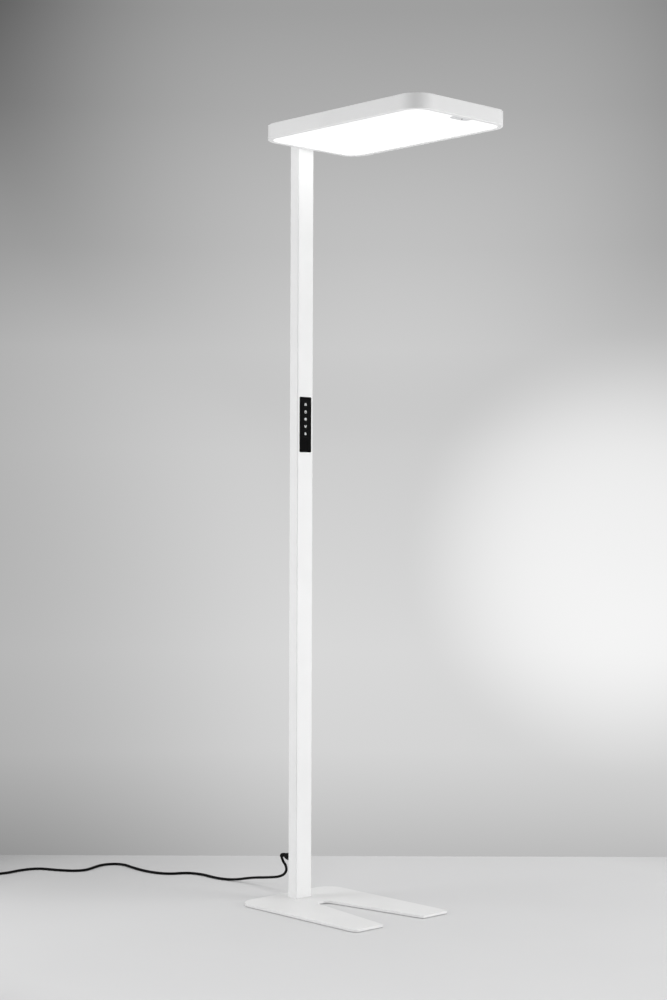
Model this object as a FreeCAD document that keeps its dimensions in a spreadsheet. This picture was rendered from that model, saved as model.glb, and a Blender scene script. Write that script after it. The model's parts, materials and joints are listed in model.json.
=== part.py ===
"""Office LED floor lamp: a flat rectangular head on a rectangular pole over a notched steel foot.

Sizes are millimetres. +Z is up and the lamp faces -Y. The origin lies on the floor, under the
middle of the lamp as measured without its mains cord.
"""
import FreeCAD, Part
import math
import os

import Sketcher
from FreeCAD import Placement, Rotation, Vector

os.makedirs("parts", exist_ok=True)
doc = FreeCAD.newDocument("floor_lamp")

SIZES = {
    # Whole lamp, and the clearances that its fits share
    "total_height": 1950.0,
    "slide_gap": 0.2,
    "thread_gap": 0.05,
    # Pole, an aluminium extrusion with a screw channel in each corner
    "pole_width": 53.0,
    "pole_depth": 31.0,
    "pole_corner": 3.0,
    "pole_wall": 2.0,
    "channel_inset": 3.8,
    "channel_wall": 1.6,
    "channel_slot": 2.4,
    "cap_thickness": 2.0,
    "cap_plug_width": 30.0,
    "cap_plug_depth": 2.5,
    "cap_plug_wall": 1.5,
    # Foot, a laser-cut steel plate on thin pads
    "base_width": 320.0,
    "base_front": 371.0,
    "base_rear": 59.0,
    "base_thickness": 6.0,
    "base_rear_corner": 48.0,
    "base_tip_corner": 14.0,
    "base_edge": 1.0,
    "notch_end": 80.0,
    "notch_radius": 24.0,
    "notch_mouth": 136.0,
    "notch_corner": 4.0,
    "pad_height": 1.2,
    "pad_radius": 11.0,
    "pad_inset": 20.0,
    "base_screw_radius": 2.5,
    "base_screw_length": 26.0,
    "base_screw_head": 4.8,
    # Head frame, a bent band with a lip below and a ledge for the cover above
    "head_width": 327.0,
    "head_length": 546.0,
    "head_depth": 37.0,
    "head_corner": 52.0,
    "head_wall": 2.2,
    "head_edge": 1.5,
    "lip_width": 13.2,
    "lip_thickness": 2.0,
    "ledge_width": 8.0,
    "ledge_thickness": 1.5,
    # Optical stack over the lip
    "diffuser_gap": 0.5,
    "diffuser_thickness": 2.0,
    "guide_margin": 1.2,
    "guide_thickness": 4.0,
    "reflector_thickness": 0.6,
    "chassis_thickness": 1.5,
    "chassis_margin": 2.0,
    "strip_gap": 1.5,
    "strip_thickness": 1.0,
    "strip_end_gap": 42.0,
    # Cover, up-light window and the tray under it
    "cover_thickness": 1.5,
    "cover_gap": 0.3,
    "window_side_margin": 58.5,
    "window_front_margin": 63.0,
    "window_rear_margin": 143.0,
    "window_corner": 12.0,
    "window_rim": 5.0,
    "window_rim_thickness": 1.5,
    "tray_inset": 13.0,
    "tray_height": 15.0,
    "tray_foot": 12.0,
    "tray_sheet": 1.2,
    "tray_screw_inset": 35.0,
    "board_width": 18.0,
    "board_end_gap": 15.0,
    "board_thickness": 1.6,
    "board_pitch": 60.0,
    "led_size": 3.5,
    "led_height": 0.8,
    "led_pitch": 34.0,
    "led_margin": 10.0,
    # Driver, pillars and screws of the head
    "driver_width": 180.0,
    "driver_length": 58.0,
    "driver_height": 20.0,
    "driver_tab": 12.0,
    "driver_tab_thickness": 1.5,
    "driver_gap": 9.8,
    "pillar_radius": 3.5,
    "pillar_side": 35.5,
    "pillar_end": 65.0,
    "cover_screw_radius": 1.5,
    "cover_screw_head": 2.8,
    "cover_screw_length": 8.0,
    "small_screw_radius": 1.5,
    "small_screw_head": 2.8,
    "small_screw_head_height": 2.0,
    # Sensor insert at the front of the underside
    "sensor_x": 10.0,
    "sensor_width": 64.0,
    "sensor_depth": 28.0,
    "sensor_corner": 18.5,
    "sensor_wall": 1.5,
    "sensor_drop": 0.6,
    "sensor_flange": 2.0,
    "sensor_ledge": 1.5,
    "sensor_board_rise": 1.5,
    "lens_radius": 2.0,
    "lens_lift": 0.8,
    "lens_shift": 6.0,
    "daylight_radius": 1.6,
    "daylight_shift": 14.0,
    "collar_width": 0.8,
    "sensor_board_thickness": 1.0,
    "sensor_cable_radius": 1.5,
    "sensor_cable_shift": 2.0,
    # Neck between the pole and the head
    "neck_gap": 6.0,
    "neck_width": 36.0,
    "neck_height": 28.0,
    "neck_level": 24.5,
    "bracket_width": 80.0,
    "bracket_reach": 46.0,
    "bracket_thickness": 4.0,
    "bracket_rise": 23.0,
    "bracket_screw_radius": 2.0,
    "bracket_screw_head": 3.6,
    "bracket_screw_head_height": 2.6,
    "bracket_screw_length": 24.0,
    "bracket_screw_span": 22.0,
    "bracket_screw_rise": 9.0,
    "insert_width": 31.0,
    "insert_arm": 9.0,
    "insert_length": 62.0,
    "insert_top_gap": 3.0,
    "insert_slot": 12.0,
    "insert_web": 6.5,
    "cable_hole": 6.0,
    "grommet_wall": 1.2,
    "grommet_flange": 8.0,
    "grommet_flange_thickness": 1.5,
    "cable_clearance": 0.2,
    "cable_wall_gap": 1.8,
    "cable_start": 40.0,
    "cable_shift": 70.0,
    # Control strip and its keys
    "strip_width": 40.0,
    "strip_height": 141.0,
    "strip_bottom": 1141.0,
    "strip_corner": 3.0,
    "strip_proud": 0.8,
    "strip_edge": 0.4,
    "bezel_depth": 3.0,
    "strip_lap_side": 3.8,
    "strip_lap_end": 3.5,
    "key_width": 16.0,
    "key_height": 15.0,
    "key_corner": 1.5,
    "key_gap": 0.25,
    "key_pitch": 18.6,
    "key_first": 20.0,
    "key_flange": 0.8,
    "key_flange_thickness": 1.0,
    "key_back_gap": 0.1,
    "key_travel": 0.5,
    "plunger_radius": 1.7,
    "plunger_length": 3.0,
    "plunger_gap": 0.1,
    "plunger_clear": 0.2,
    "switch_size": 6.2,
    "switch_height": 3.5,
    "switch_clear": 1.3,
    "keypad_board_gap": 0.3,
    "keypad_board_thickness": 1.6,
    "housing_wall": 1.2,
    "housing_post": 1.0,
    "housing_lug": 1.2,
    "control_cable_radius": 1.5,
    # Mains inlet on the pole's rear
    "inlet_height": 105.0,
    "inlet_flange_lap": 1.8,
    "inlet_flange_thickness": 2.0,
    "inlet_flange_corner": 3.0,
    "inlet_body_width": 27.4,
    "inlet_body_height": 19.4,
    "inlet_body_depth": 18.5,
    "inlet_wall": 1.5,
    "inlet_recess_depth": 15.5,
    "inlet_chamfer": 4.0,
    "inlet_lug": 0.9,
    "pin_width": 2.0,
    "pin_height": 4.0,
    "pin_length": 13.0,
    "pin_pitch": 14.0,
    "pin_line_drop": 2.0,
    "pin_earth_rise": 2.0,
    "tab_length": 5.0,
    "boot_width": 22.0,
    "boot_height": 17.0,
    "boot_depth": 8.6,
    "boot_wall": 1.2,
    "supply_cable_radius": 2.7,
    # Cord set: connector, cord, coil and plug
    "connector_width": 27.0,
    "connector_height": 19.8,
    "connector_length": 32.4,
    "connector_rear_width": 18.0,
    "connector_rear_height": 14.0,
    "connector_corner": 3.5,
    "nose_gap": 0.4,
    "nose_length": 14.5,
    "relief_start_radius": 6.0,
    "relief_end_radius": 4.3,
    "cord_diameter": 6.8,
    "coil_mean_diameter": 75.0,
    "coil_layer_turns": 2.25,
    "coil_gap": 0.6,
    "plug_radius": 18.4,
    "plug_floor_gap": 0.1,
    "plug_tail_rise": 44.0,
    "plug_tail_run": 18.0,
    "plug_face_depth": 14.0,
    "plug_neck_radius": 10.0,
    "plug_neck_depth": 24.0,
    "plug_rear_depth": 12.0,
    "plug_side_cut": 4.2,
    "plug_side_width": 8.0,
    "plug_relief_length": 26.0,
    "plug_pin_radius": 2.4,
    "plug_pin_length": 19.0,
    "plug_pin_pitch": 19.0,
    "plug_earth_radius": 2.6,
    "plug_earth_offset": 10.0,
    "plug_earth_depth": 12.0,
}

KEY_COUNT = 5
UPLIGHT_BOARDS = 3

sheet = doc.addObject("Spreadsheet::Sheet", "sizes")
for row, (word, number) in enumerate(SIZES.items(), start=1):
    sheet.set(f"A{row}", word)
    sheet.set(f"B{row}", str(number))
    sheet.setAlias(f"B{row}", word)
doc.recompute()


class Amount:
    """A number together with the sheet formula that it comes from."""

    def __init__(self, number, formula):
        self.number = number
        self.formula = formula

    def __add__(self, other):
        return Amount(self.number + plain(other), f"({self.formula} + {written(other)})")

    def __radd__(self, other):
        return Amount(plain(other) + self.number, f"({written(other)} + {self.formula})")

    def __sub__(self, other):
        return Amount(self.number - plain(other), f"({self.formula} - {written(other)})")

    def __rsub__(self, other):
        return Amount(plain(other) - self.number, f"({written(other)} - {self.formula})")

    def __mul__(self, other):
        return Amount(self.number * plain(other), f"({self.formula} * {written(other)})")

    def __rmul__(self, other):
        return Amount(plain(other) * self.number, f"({written(other)} * {self.formula})")

    def __truediv__(self, other):
        return Amount(self.number / plain(other), f"({self.formula} / {written(other)})")

    def __neg__(self):
        return Amount(-self.number, f"(0 - {self.formula})")


def plain(value):
    """The number of an amount, or a plain number itself."""
    return value.number if isinstance(value, Amount) else float(value)


def written(value):
    """The formula of an amount, or a plain number as text."""
    return value.formula if isinstance(value, Amount) else f"{float(value):.6f}"


class Cells:
    """Gives each size of the sheet as an amount, by its name."""

    def __getattr__(self, word):
        return Amount(SIZES[word], f"sizes.{word}")


s = Cells()

# Levels and places that several pieces share
HEAD_BACK = s.pole_depth / 2 + s.neck_gap
HEAD_CENTRE = HEAD_BACK + s.head_length / 2
POLE_Y = (HEAD_BACK + s.head_length - s.base_rear) / 2
HEAD_Y = POLE_Y - HEAD_CENTRE
HEAD_Z = s.total_height - s.head_depth
BASE_TOP = s.pad_height + s.base_thickness
POLE_LENGTH = s.total_height - s.cap_thickness - BASE_TOP
CHANNEL_BORE = s.base_screw_radius + s.thread_gap
CHANNEL_X = s.pole_width / 2 - s.pole_wall - s.channel_inset
CHANNEL_Y = s.pole_depth / 2 - s.pole_wall - s.channel_inset
POLE_INNER_DEPTH = s.pole_depth - 2 * s.pole_wall
NECK_Z = s.neck_level
SPACER_Z = s.head_depth / 2
DIFFUSER_TOP = s.lip_thickness + s.diffuser_thickness
GUIDE_TOP = DIFFUSER_TOP + s.guide_thickness
REFLECTOR_TOP = GUIDE_TOP + s.reflector_thickness
CHASSIS_TOP = REFLECTOR_TOP + s.chassis_thickness
COVER_BOTTOM = s.head_depth - s.cover_thickness
GUIDE_X = s.head_width / 2 - s.lip_width + s.guide_margin
GUIDE_Y = s.head_length / 2 - s.lip_width + s.guide_margin
GUIDE_CORNER = s.head_corner - s.lip_width + s.guide_margin
STRIP_X = GUIDE_X + s.strip_gap + s.strip_thickness
LIP_FRONT = s.head_length / 2 - s.lip_width
WALL_INSIDE = s.head_length / 2 - s.head_wall
WINDOW_WIDTH = s.head_width - 2 * s.window_side_margin
WINDOW_LENGTH = s.head_length - s.window_front_margin - s.window_rear_margin
WINDOW_MIDDLE = (s.window_front_margin - s.window_rear_margin) / 2
TRAY_WIDTH = WINDOW_WIDTH - 2 * s.tray_inset
TRAY_LENGTH = WINDOW_LENGTH + 2 * s.window_rim
BOARD_LENGTH = TRAY_LENGTH - 2 * s.board_end_gap
DRIVER_REAR = WALL_INSIDE - s.bracket_reach - s.driver_gap
DRIVER_FRONT = DRIVER_REAR - s.driver_length
OPENING_WIDTH = s.strip_width - 2 * s.strip_lap_side
OPENING_HEIGHT = s.strip_height - 2 * s.strip_lap_end

nodes = {}


def bind(thing, name, value):
    """Sets a property, by its sheet formula where the value has one."""
    if isinstance(value, Amount):
        thing.setExpression(name, value.formula)
    elif name.startswith(("Placement", "AttachmentOffset")):
        thing.setExpression(name, written(value))
    else:
        setattr(thing, name, value)


def place(thing, x=0, y=0, z=0, turn=None):
    """Puts a sub-part where its three amounts say, after an optional turn."""
    if turn is not None:
        thing.Placement = Placement(Vector(), turn)
    bind(thing, "Placement.Base.x", x)
    bind(thing, "Placement.Base.y", y)
    bind(thing, "Placement.Base.z", z)


def keep(name, thing):
    """Names a finished sub-part, which becomes one file."""
    thing.Label = name
    nodes[name] = thing
    return thing


def new_body(name):
    """An empty body that may hold several separate solids."""
    body = doc.addObject("PartDesign::Body", name)
    body.AllowCompound = True
    return keep(name, body)


def new_sketch(body, name, role, level=0):
    """A sketch on one of the body's own origin planes, raised by a level along its normal."""
    sketch = body.newObject("Sketcher::SketchObject", name)
    plane = [item for item in body.Origin.OriginFeatures if item.Role == role][0]
    sketch.AttachmentSupport = [(plane, "")]
    sketch.MapMode = "FlatFace"
    bind(sketch, "AttachmentOffset.Base.z", level)
    return sketch


def fix(sketch, kind, *rest):
    """Adds a constraint whose last item is its value, bound to the sheet."""
    value = rest[-1]
    index = sketch.addConstraint(Sketcher.Constraint(kind, *rest[:-1], plain(value)))
    if isinstance(value, Amount):
        sketch.setExpression(f"Constraints[{index}]", value.formula)


def fix_point(sketch, item, end, x, y):
    """Holds one point of a sketch at x and y."""
    if x == 0:
        sketch.addConstraint(Sketcher.Constraint("PointOnObject", item, end, -2))
    else:
        fix(sketch, "DistanceX", -1, 1, item, end, x)
    if y == 0:
        sketch.addConstraint(Sketcher.Constraint("PointOnObject", item, end, -1))
    else:
        fix(sketch, "DistanceY", -1, 1, item, end, y)


def draw_circle(sketch, x, y, radius):
    """A circle with a held centre and radius."""
    shape = Part.Circle(Vector(plain(x), plain(y), 0), Vector(0, 0, 1), plain(radius))
    item = sketch.addGeometry(shape, False)
    fix_point(sketch, item, 3, x, y)
    fix(sketch, "Radius", item, radius)


def draw_polygon(sketch, points):
    """A closed outline of straight edges, each corner held by its own two sizes."""
    corners = [Vector(plain(x), plain(y), 0) for x, y in points]
    count = len(corners)
    edges = [Part.LineSegment(corners[i], corners[(i + 1) % count]) for i in range(count)]
    items = sketch.addGeometry(edges, False)
    for i in range(count):
        sketch.addConstraint(Sketcher.Constraint("Coincident", items[i], 2, items[(i + 1) % count], 1))
        fix_point(sketch, items[i], 1, *points[i])


def draw_rectangle(sketch, left, right, low, high, low_corner=0, high_corner=0):
    """A rectangle whose two lower and two upper corners may be rounded."""
    x0, x1, y0, y1 = plain(left), plain(right), plain(low), plain(high)
    a, b = plain(low_corner), plain(high_corner)
    lines = [
        Part.LineSegment(Vector(x0 + a, y0, 0), Vector(x1 - a, y0, 0)),
        Part.LineSegment(Vector(x1, y0 + a, 0), Vector(x1, y1 - b, 0)),
        Part.LineSegment(Vector(x1 - b, y1, 0), Vector(x0 + b, y1, 0)),
        Part.LineSegment(Vector(x0, y1 - b, 0), Vector(x0, y0 + a, 0)),
    ]
    items = sketch.addGeometry(lines, False)
    for item, kind in zip(items, ("Horizontal", "Vertical", "Horizontal", "Vertical")):
        sketch.addConstraint(Sketcher.Constraint(kind, item))
    fix(sketch, "DistanceY", -1, 1, items[0], 1, low)
    fix(sketch, "DistanceX", -1, 1, items[1], 1, right)
    fix(sketch, "DistanceY", -1, 1, items[2], 1, high)
    fix(sketch, "DistanceX", -1, 1, items[3], 1, left)
    corners = [
        (Vector(x1 - a, y0 + a, 0), low_corner),
        (Vector(x1 - b, y1 - b, 0), high_corner),
        (Vector(x0 + b, y1 - b, 0), high_corner),
        (Vector(x0 + a, y0 + a, 0), low_corner),
    ]
    quarter = math.pi / 2
    for i, (centre, radius) in enumerate(corners):
        following = items[(i + 1) % 4]
        if plain(radius) == 0:
            sketch.addConstraint(Sketcher.Constraint("Coincident", items[i], 2, following, 1))
            continue
        circle = Part.Circle(centre, Vector(0, 0, 1), plain(radius))
        arc = Part.ArcOfCircle(circle, (i - 1) * quarter, i * quarter)
        item = sketch.addGeometry(arc, False)
        sketch.addConstraint(Sketcher.Constraint("Tangent", items[i], 2, item, 1))
        sketch.addConstraint(Sketcher.Constraint("Tangent", item, 2, following, 1))
        fix(sketch, "Radius", item, radius)


def centred(width, height, corner=0):
    """Draws a rectangle with its middle on the origin."""
    def draw(sketch):
        draw_rectangle(sketch, -width / 2, width / 2, -height / 2, height / 2, corner, corner)
    return draw


def spots(radius, points):
    """Draws a circle of one radius at each point."""
    def draw(sketch):
        for x, y in points:
            draw_circle(sketch, x, y, radius)
    return draw


def extrude(body, kind, name, role, level, length, draw, reverse):
    """A pad or pocket of what draw puts into a new sketch."""
    sketch = new_sketch(body, f"{name}_sketch", role, level)
    draw(sketch)
    feature = body.newObject(f"PartDesign::{kind}", name)
    feature.Profile = sketch
    bind(feature, "Length", length)
    feature.Reversed = reverse
    sketch.Visibility = False
    return feature


def pad_z(body, name, low, high, draw):
    """Adds material from one height to another."""
    return extrude(body, "Pad", name, "XY_Plane", low, high - low, draw, False)


def cut_z(body, name, low, high, draw):
    """Removes material from one height to another."""
    return extrude(body, "Pocket", name, "XY_Plane", high, high - low, draw, False)


def pad_y(body, name, near, far, draw):
    """Adds material from a lesser y to a greater one; draw works in x and z."""
    return extrude(body, "Pad", name, "XZ_Plane", -near, far - near, draw, True)


def cut_y(body, name, near, far, draw):
    """Removes material from a lesser y to a greater one; draw works in x and z."""
    return extrude(body, "Pocket", name, "XZ_Plane", -near, far - near, draw, False)


def pad_x(body, name, left, right, draw):
    """Adds material from a lesser x to a greater one; draw works in y and z."""
    return extrude(body, "Pad", name, "YZ_Plane", left, right - left, draw, False)


def blend_edges(body, kind, name, size, chosen):
    """Rounds or chamfers the edges of the body's last feature that chosen accepts."""
    doc.recompute()
    base = body.Tip
    edges = [f"Edge{i}" for i, edge in enumerate(base.Shape.Edges, start=1) if chosen(edge)]
    feature = body.newObject(f"PartDesign::{kind}", name)
    feature.Base = (base, edges)
    bind(feature, "Radius" if kind == "Fillet" else "Size", size)
    return feature


def near(value, target):
    """Whether a coordinate is at a level."""
    return abs(value - plain(target)) < 0.01


def flat_at_z(level):
    """Chooses edges that lie wholly at one height."""
    def chosen(edge):
        box = edge.BoundBox
        return near(box.ZMin, level) and near(box.ZMax, level)
    return chosen


def flat_at_y(level):
    """Chooses edges that lie wholly at one y."""
    def chosen(edge):
        box = edge.BoundBox
        return near(box.YMin, level) and near(box.YMax, level)
    return chosen


def rod(name, radius, length):
    """An upright cylinder that starts at its origin."""
    thing = doc.addObject("Part::Cylinder", name)
    bind(thing, "Radius", radius)
    bind(thing, "Height", length)
    return thing


def cone(name, low_radius, high_radius, length):
    """An upright cone that starts at its origin."""
    thing = doc.addObject("Part::Cone", name)
    bind(thing, "Radius1", low_radius)
    bind(thing, "Radius2", high_radius)
    bind(thing, "Height", length)
    return thing


def block(name, x, y, z, low):
    """A box of three sizes whose lowest corner is at low."""
    thing = doc.addObject("Part::Box", name)
    bind(thing, "Length", x)
    bind(thing, "Width", y)
    bind(thing, "Height", z)
    place(thing, *low)
    return thing


def fuse(name, base, tool):
    """The union of two primitives."""
    thing = doc.addObject("Part::Fuse", name)
    thing.Base = base
    thing.Tool = tool
    return thing


def group(name, things):
    """Separate equal solids that share one sub-part."""
    thing = doc.addObject("Part::Compound", name)
    thing.Links = things
    return keep(name, thing)


def pan_screw(name, radius, length, head_radius, head_height):
    """A screw along +Z with its shank above the origin and a cylindrical head below it."""
    shank = rod(f"{name}_shank", radius, length)
    head = rod(f"{name}_head", head_radius, head_height)
    place(head, 0, 0, -head_height)
    return fuse(name, head, shank)


def sunk_screw(name, radius, length, head_radius):
    """A countersunk screw along +Z, its flat head face at the origin and its cone at 45 degrees."""
    head = cone(f"{name}_head", head_radius, radius, head_radius - radius)
    shank = rod(f"{name}_shank", radius, length)
    return fuse(name, head, shank)


def four(x, y):
    """The four corners of a centred rectangle."""
    return [(-x, -y), (x, -y), (-x, y), (x, y)]


# Foot

PAD_X = s.base_width / 2 - s.pad_inset
PAD_FRONT_X = (s.base_width + s.notch_mouth) / 4
PAD_SPOTS = [
    (-PAD_FRONT_X, -(s.base_front - s.pad_inset)),
    (PAD_FRONT_X, -(s.base_front - s.pad_inset)),
    (-PAD_X, -(s.base_front / 2)),
    (PAD_X, -(s.base_front / 2)),
    (-(PAD_X - s.pad_inset), s.base_rear - s.pad_inset),
    (PAD_X - s.pad_inset, s.base_rear - s.pad_inset),
]


def draw_notch(sketch):
    """The tapered slot between the foot's two legs, closed by an arc."""
    mouth = plain(s.notch_mouth / 2)
    front = plain(-s.base_front)
    radius = plain(s.notch_radius)
    centre = Vector(0, plain(-(s.notch_end + s.notch_radius)), 0)
    reach = math.hypot(mouth, centre.y - front)
    angle = math.atan2(centre.y - front, -mouth) - math.asin(radius / reach)
    length = math.sqrt(reach * reach - radius * radius)
    touch = Vector(mouth + length * math.cos(angle), front + length * math.sin(angle), 0)
    start = math.atan2(touch.y - centre.y, touch.x)
    circle = Part.Circle(centre, Vector(0, 0, 1), radius)
    shapes = [
        Part.LineSegment(Vector(-mouth, front, 0), Vector(mouth, front, 0)),
        Part.LineSegment(Vector(mouth, front, 0), touch),
        Part.ArcOfCircle(circle, start, math.pi - start),
        Part.LineSegment(Vector(-touch.x, touch.y, 0), Vector(-mouth, front, 0)),
    ]
    across, right, arc, left = sketch.addGeometry(shapes, False)
    sketch.addConstraint(Sketcher.Constraint("Horizontal", across))
    fix_point(sketch, across, 1, -s.notch_mouth / 2, -s.base_front)
    fix(sketch, "DistanceX", -1, 1, across, 2, s.notch_mouth / 2)
    sketch.addConstraint(Sketcher.Constraint("Coincident", across, 2, right, 1))
    sketch.addConstraint(Sketcher.Constraint("Tangent", right, 2, arc, 1))
    sketch.addConstraint(Sketcher.Constraint("Tangent", arc, 2, left, 1))
    sketch.addConstraint(Sketcher.Constraint("Coincident", left, 2, across, 1))
    fix_point(sketch, arc, 3, 0, -(s.notch_end + s.notch_radius))
    fix(sketch, "Radius", arc, s.notch_radius)


def make_base_plate():
    """Steel plate with round rear corners, two tapered legs and countersunk screw holes below."""
    body = new_body("base_plate")
    pad_z(body, "plate", 0, s.base_thickness, lambda sketch: draw_rectangle(
        sketch, -s.base_width / 2, s.base_width / 2, -s.base_front, s.base_rear,
        s.base_tip_corner, s.base_rear_corner))
    cut_z(body, "notch", 0, s.base_thickness, draw_notch)

    def mouth_corner(edge):
        box = edge.BoundBox
        upright = near(box.XLength, 0) and near(box.YLength, 0)
        return upright and near(box.YMin, -s.base_front) and near(abs(box.XMin), s.notch_mouth / 2)
    blend_edges(body, "Fillet", "leg_corners", s.notch_corner, mouth_corner)
    blend_edges(body, "Fillet", "top_edge", s.base_edge, flat_at_z(s.base_thickness))
    bore = s.base_screw_radius + s.slide_gap
    spots_at = four(CHANNEL_X, CHANNEL_Y)
    cut_z(body, "screw_holes", 0, s.base_thickness, spots(bore, spots_at))
    widening = s.base_screw_head - bore

    def hole_rim(edge):
        round_hole = near(edge.BoundBox.XLength, 2 * bore) and near(edge.BoundBox.YLength, 2 * bore)
        return round_hole and flat_at_z(0)(edge)
    blend_edges(body, "Chamfer", "sinks", widening, hole_rim)
    place(body, 0, POLE_Y, s.pad_height)


def make_glide_pads():
    """Felt discs under the plate, on which the lamp stands."""
    body = new_body("glide_pads")
    pad_z(body, "pads", 0, s.pad_height, spots(s.pad_radius, PAD_SPOTS))
    place(body, 0, POLE_Y, 0)


def make_base_screws():
    """Four countersunk screws that run up into the pole's corner channels."""
    screws = []
    for x, y in four(CHANNEL_X, CHANNEL_Y):
        screw = sunk_screw("base_screw", s.base_screw_radius, s.base_screw_length,
                           s.base_screw_head)
        place(screw, x, POLE_Y + y, s.pad_height)
        screws.append(screw)
    group("base_screws", screws)


# Pole

NECK_IN_POLE = HEAD_Z + NECK_Z - BASE_TOP
NECK_SCREWS = [(x, NECK_Z + z) for x, z in four(s.bracket_screw_span / 2, s.bracket_screw_rise / 2)]


def make_pole_profile():
    """Hollow extrusion with four screw channels, cut for the control strip, inlet and neck."""
    body = new_body("pole_profile")
    pad_z(body, "outside", 0, POLE_LENGTH, centred(s.pole_width, s.pole_depth, s.pole_corner))
    cut_z(body, "inside", 0, POLE_LENGTH, centred(s.pole_width - 2 * s.pole_wall, POLE_INNER_DEPTH,
                                                  s.pole_corner - s.pole_wall))
    corners = four(CHANNEL_X, CHANNEL_Y)
    pad_z(body, "channels", 0, POLE_LENGTH, spots(CHANNEL_BORE + s.channel_wall, corners))
    cut_z(body, "bores", 0, POLE_LENGTH, spots(CHANNEL_BORE, corners))

    def draw_slots(sketch):
        for side in (-CHANNEL_Y, CHANNEL_Y):
            draw_rectangle(sketch, -CHANNEL_X, CHANNEL_X,
                           side - s.channel_slot / 2, side + s.channel_slot / 2)
    cut_z(body, "slots", 0, POLE_LENGTH, draw_slots)
    front = -s.pole_depth / 2
    strip_low = s.strip_bottom - BASE_TOP + s.strip_lap_end
    cut_y(body, "strip_opening", front, front + s.pole_wall, lambda sketch: draw_rectangle(
        sketch, -OPENING_WIDTH / 2, OPENING_WIDTH / 2, strip_low, strip_low + OPENING_HEIGHT))
    rear = s.pole_depth / 2
    inlet = s.inlet_height - BASE_TOP
    half_x = s.inlet_body_width / 2 + s.slide_gap
    half_z = s.inlet_body_height / 2 + s.slide_gap
    cut_y(body, "inlet_opening", rear - s.pole_wall, rear, lambda sketch: draw_rectangle(
        sketch, -half_x, half_x, inlet - half_z, inlet + half_z))
    cut_y(body, "cable_hole_cut", front, front + s.pole_wall,
          spots(s.cable_hole, [(0, NECK_IN_POLE)]))
    screws = [(x, z - NECK_Z + NECK_IN_POLE) for x, z in NECK_SCREWS]
    cut_y(body, "neck_screw_holes", front, front + s.pole_wall,
          spots(s.bracket_screw_radius + s.slide_gap, screws))
    place(body, 0, POLE_Y, BASE_TOP)


def make_pole_top_cap():
    """Plastic cap with a hollow plug that sits between the screw channels."""
    body = new_body("pole_top_cap")
    pad_z(body, "plate", 0, s.cap_thickness, centred(s.pole_width, s.pole_depth, s.pole_corner))
    plug_y = POLE_INNER_DEPTH - 2 * s.slide_gap
    pad_z(body, "plug", -s.cap_plug_depth, 0, centred(s.cap_plug_width, plug_y))
    cut_z(body, "hollow", -s.cap_plug_depth, 0,
          centred(s.cap_plug_width - 2 * s.cap_plug_wall, plug_y - 2 * s.cap_plug_wall))
    place(body, 0, POLE_Y, s.total_height - s.cap_thickness)


def make_pole_top_insert():
    """Aluminium block inside the pole's top: a cross between the channels, slotted for the cables."""
    body = new_body("pole_top_insert")
    depth = POLE_INNER_DEPTH - 2 * s.slide_gap
    top = POLE_LENGTH - s.insert_top_gap
    low = top - s.insert_length
    pad_z(body, "core", low, top, centred(s.insert_width, depth))
    arms = s.pole_width - 2 * s.pole_wall - 2 * s.slide_gap
    pad_z(body, "arms", low, top, centred(arms, s.insert_arm))
    front = -depth / 2
    cut_z(body, "cable_slot", low, top, lambda sketch: draw_rectangle(
        sketch, -s.insert_slot / 2, s.insert_slot / 2, front + s.insert_web, -front))
    cut_y(body, "cable_passage", front, front + s.insert_web, spots(s.cable_hole, [(0, NECK_IN_POLE)]))
    holes = [(x, z - NECK_Z + NECK_IN_POLE) for x, z in NECK_SCREWS]
    cut_y(body, "threads", front, front + depth,
          spots(s.bracket_screw_radius + s.thread_gap, holes))
    place(body, 0, POLE_Y - s.slide_gap, BASE_TOP)


# Neck between the pole and the head

CHASSIS_SCREW_X = s.bracket_width / 2 - 2 * s.bracket_thickness
CHASSIS_SCREW_Y = WALL_INSIDE - s.bracket_reach + 2 * s.bracket_thickness
CHASSIS_SCREWS = [(-CHASSIS_SCREW_X, CHASSIS_SCREW_Y), (CHASSIS_SCREW_X, CHASSIS_SCREW_Y)]


def make_neck_spacer():
    """Block that holds the head's rear wall off the pole, with the screws and cables through it."""
    body = new_body("neck_spacer")
    pad_y(body, "block", 0, s.neck_gap, centred(s.neck_width, s.neck_height))
    cut_y(body, "passage", 0, s.neck_gap, spots(s.cable_hole, [(0, NECK_Z - SPACER_Z)]))
    holes = [(x, z - SPACER_Z) for x, z in NECK_SCREWS]
    cut_y(body, "screw_holes", 0, s.neck_gap, spots(s.bracket_screw_radius + s.slide_gap, holes))
    place(body, 0, POLE_Y - HEAD_BACK, HEAD_Z + SPACER_Z)


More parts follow.
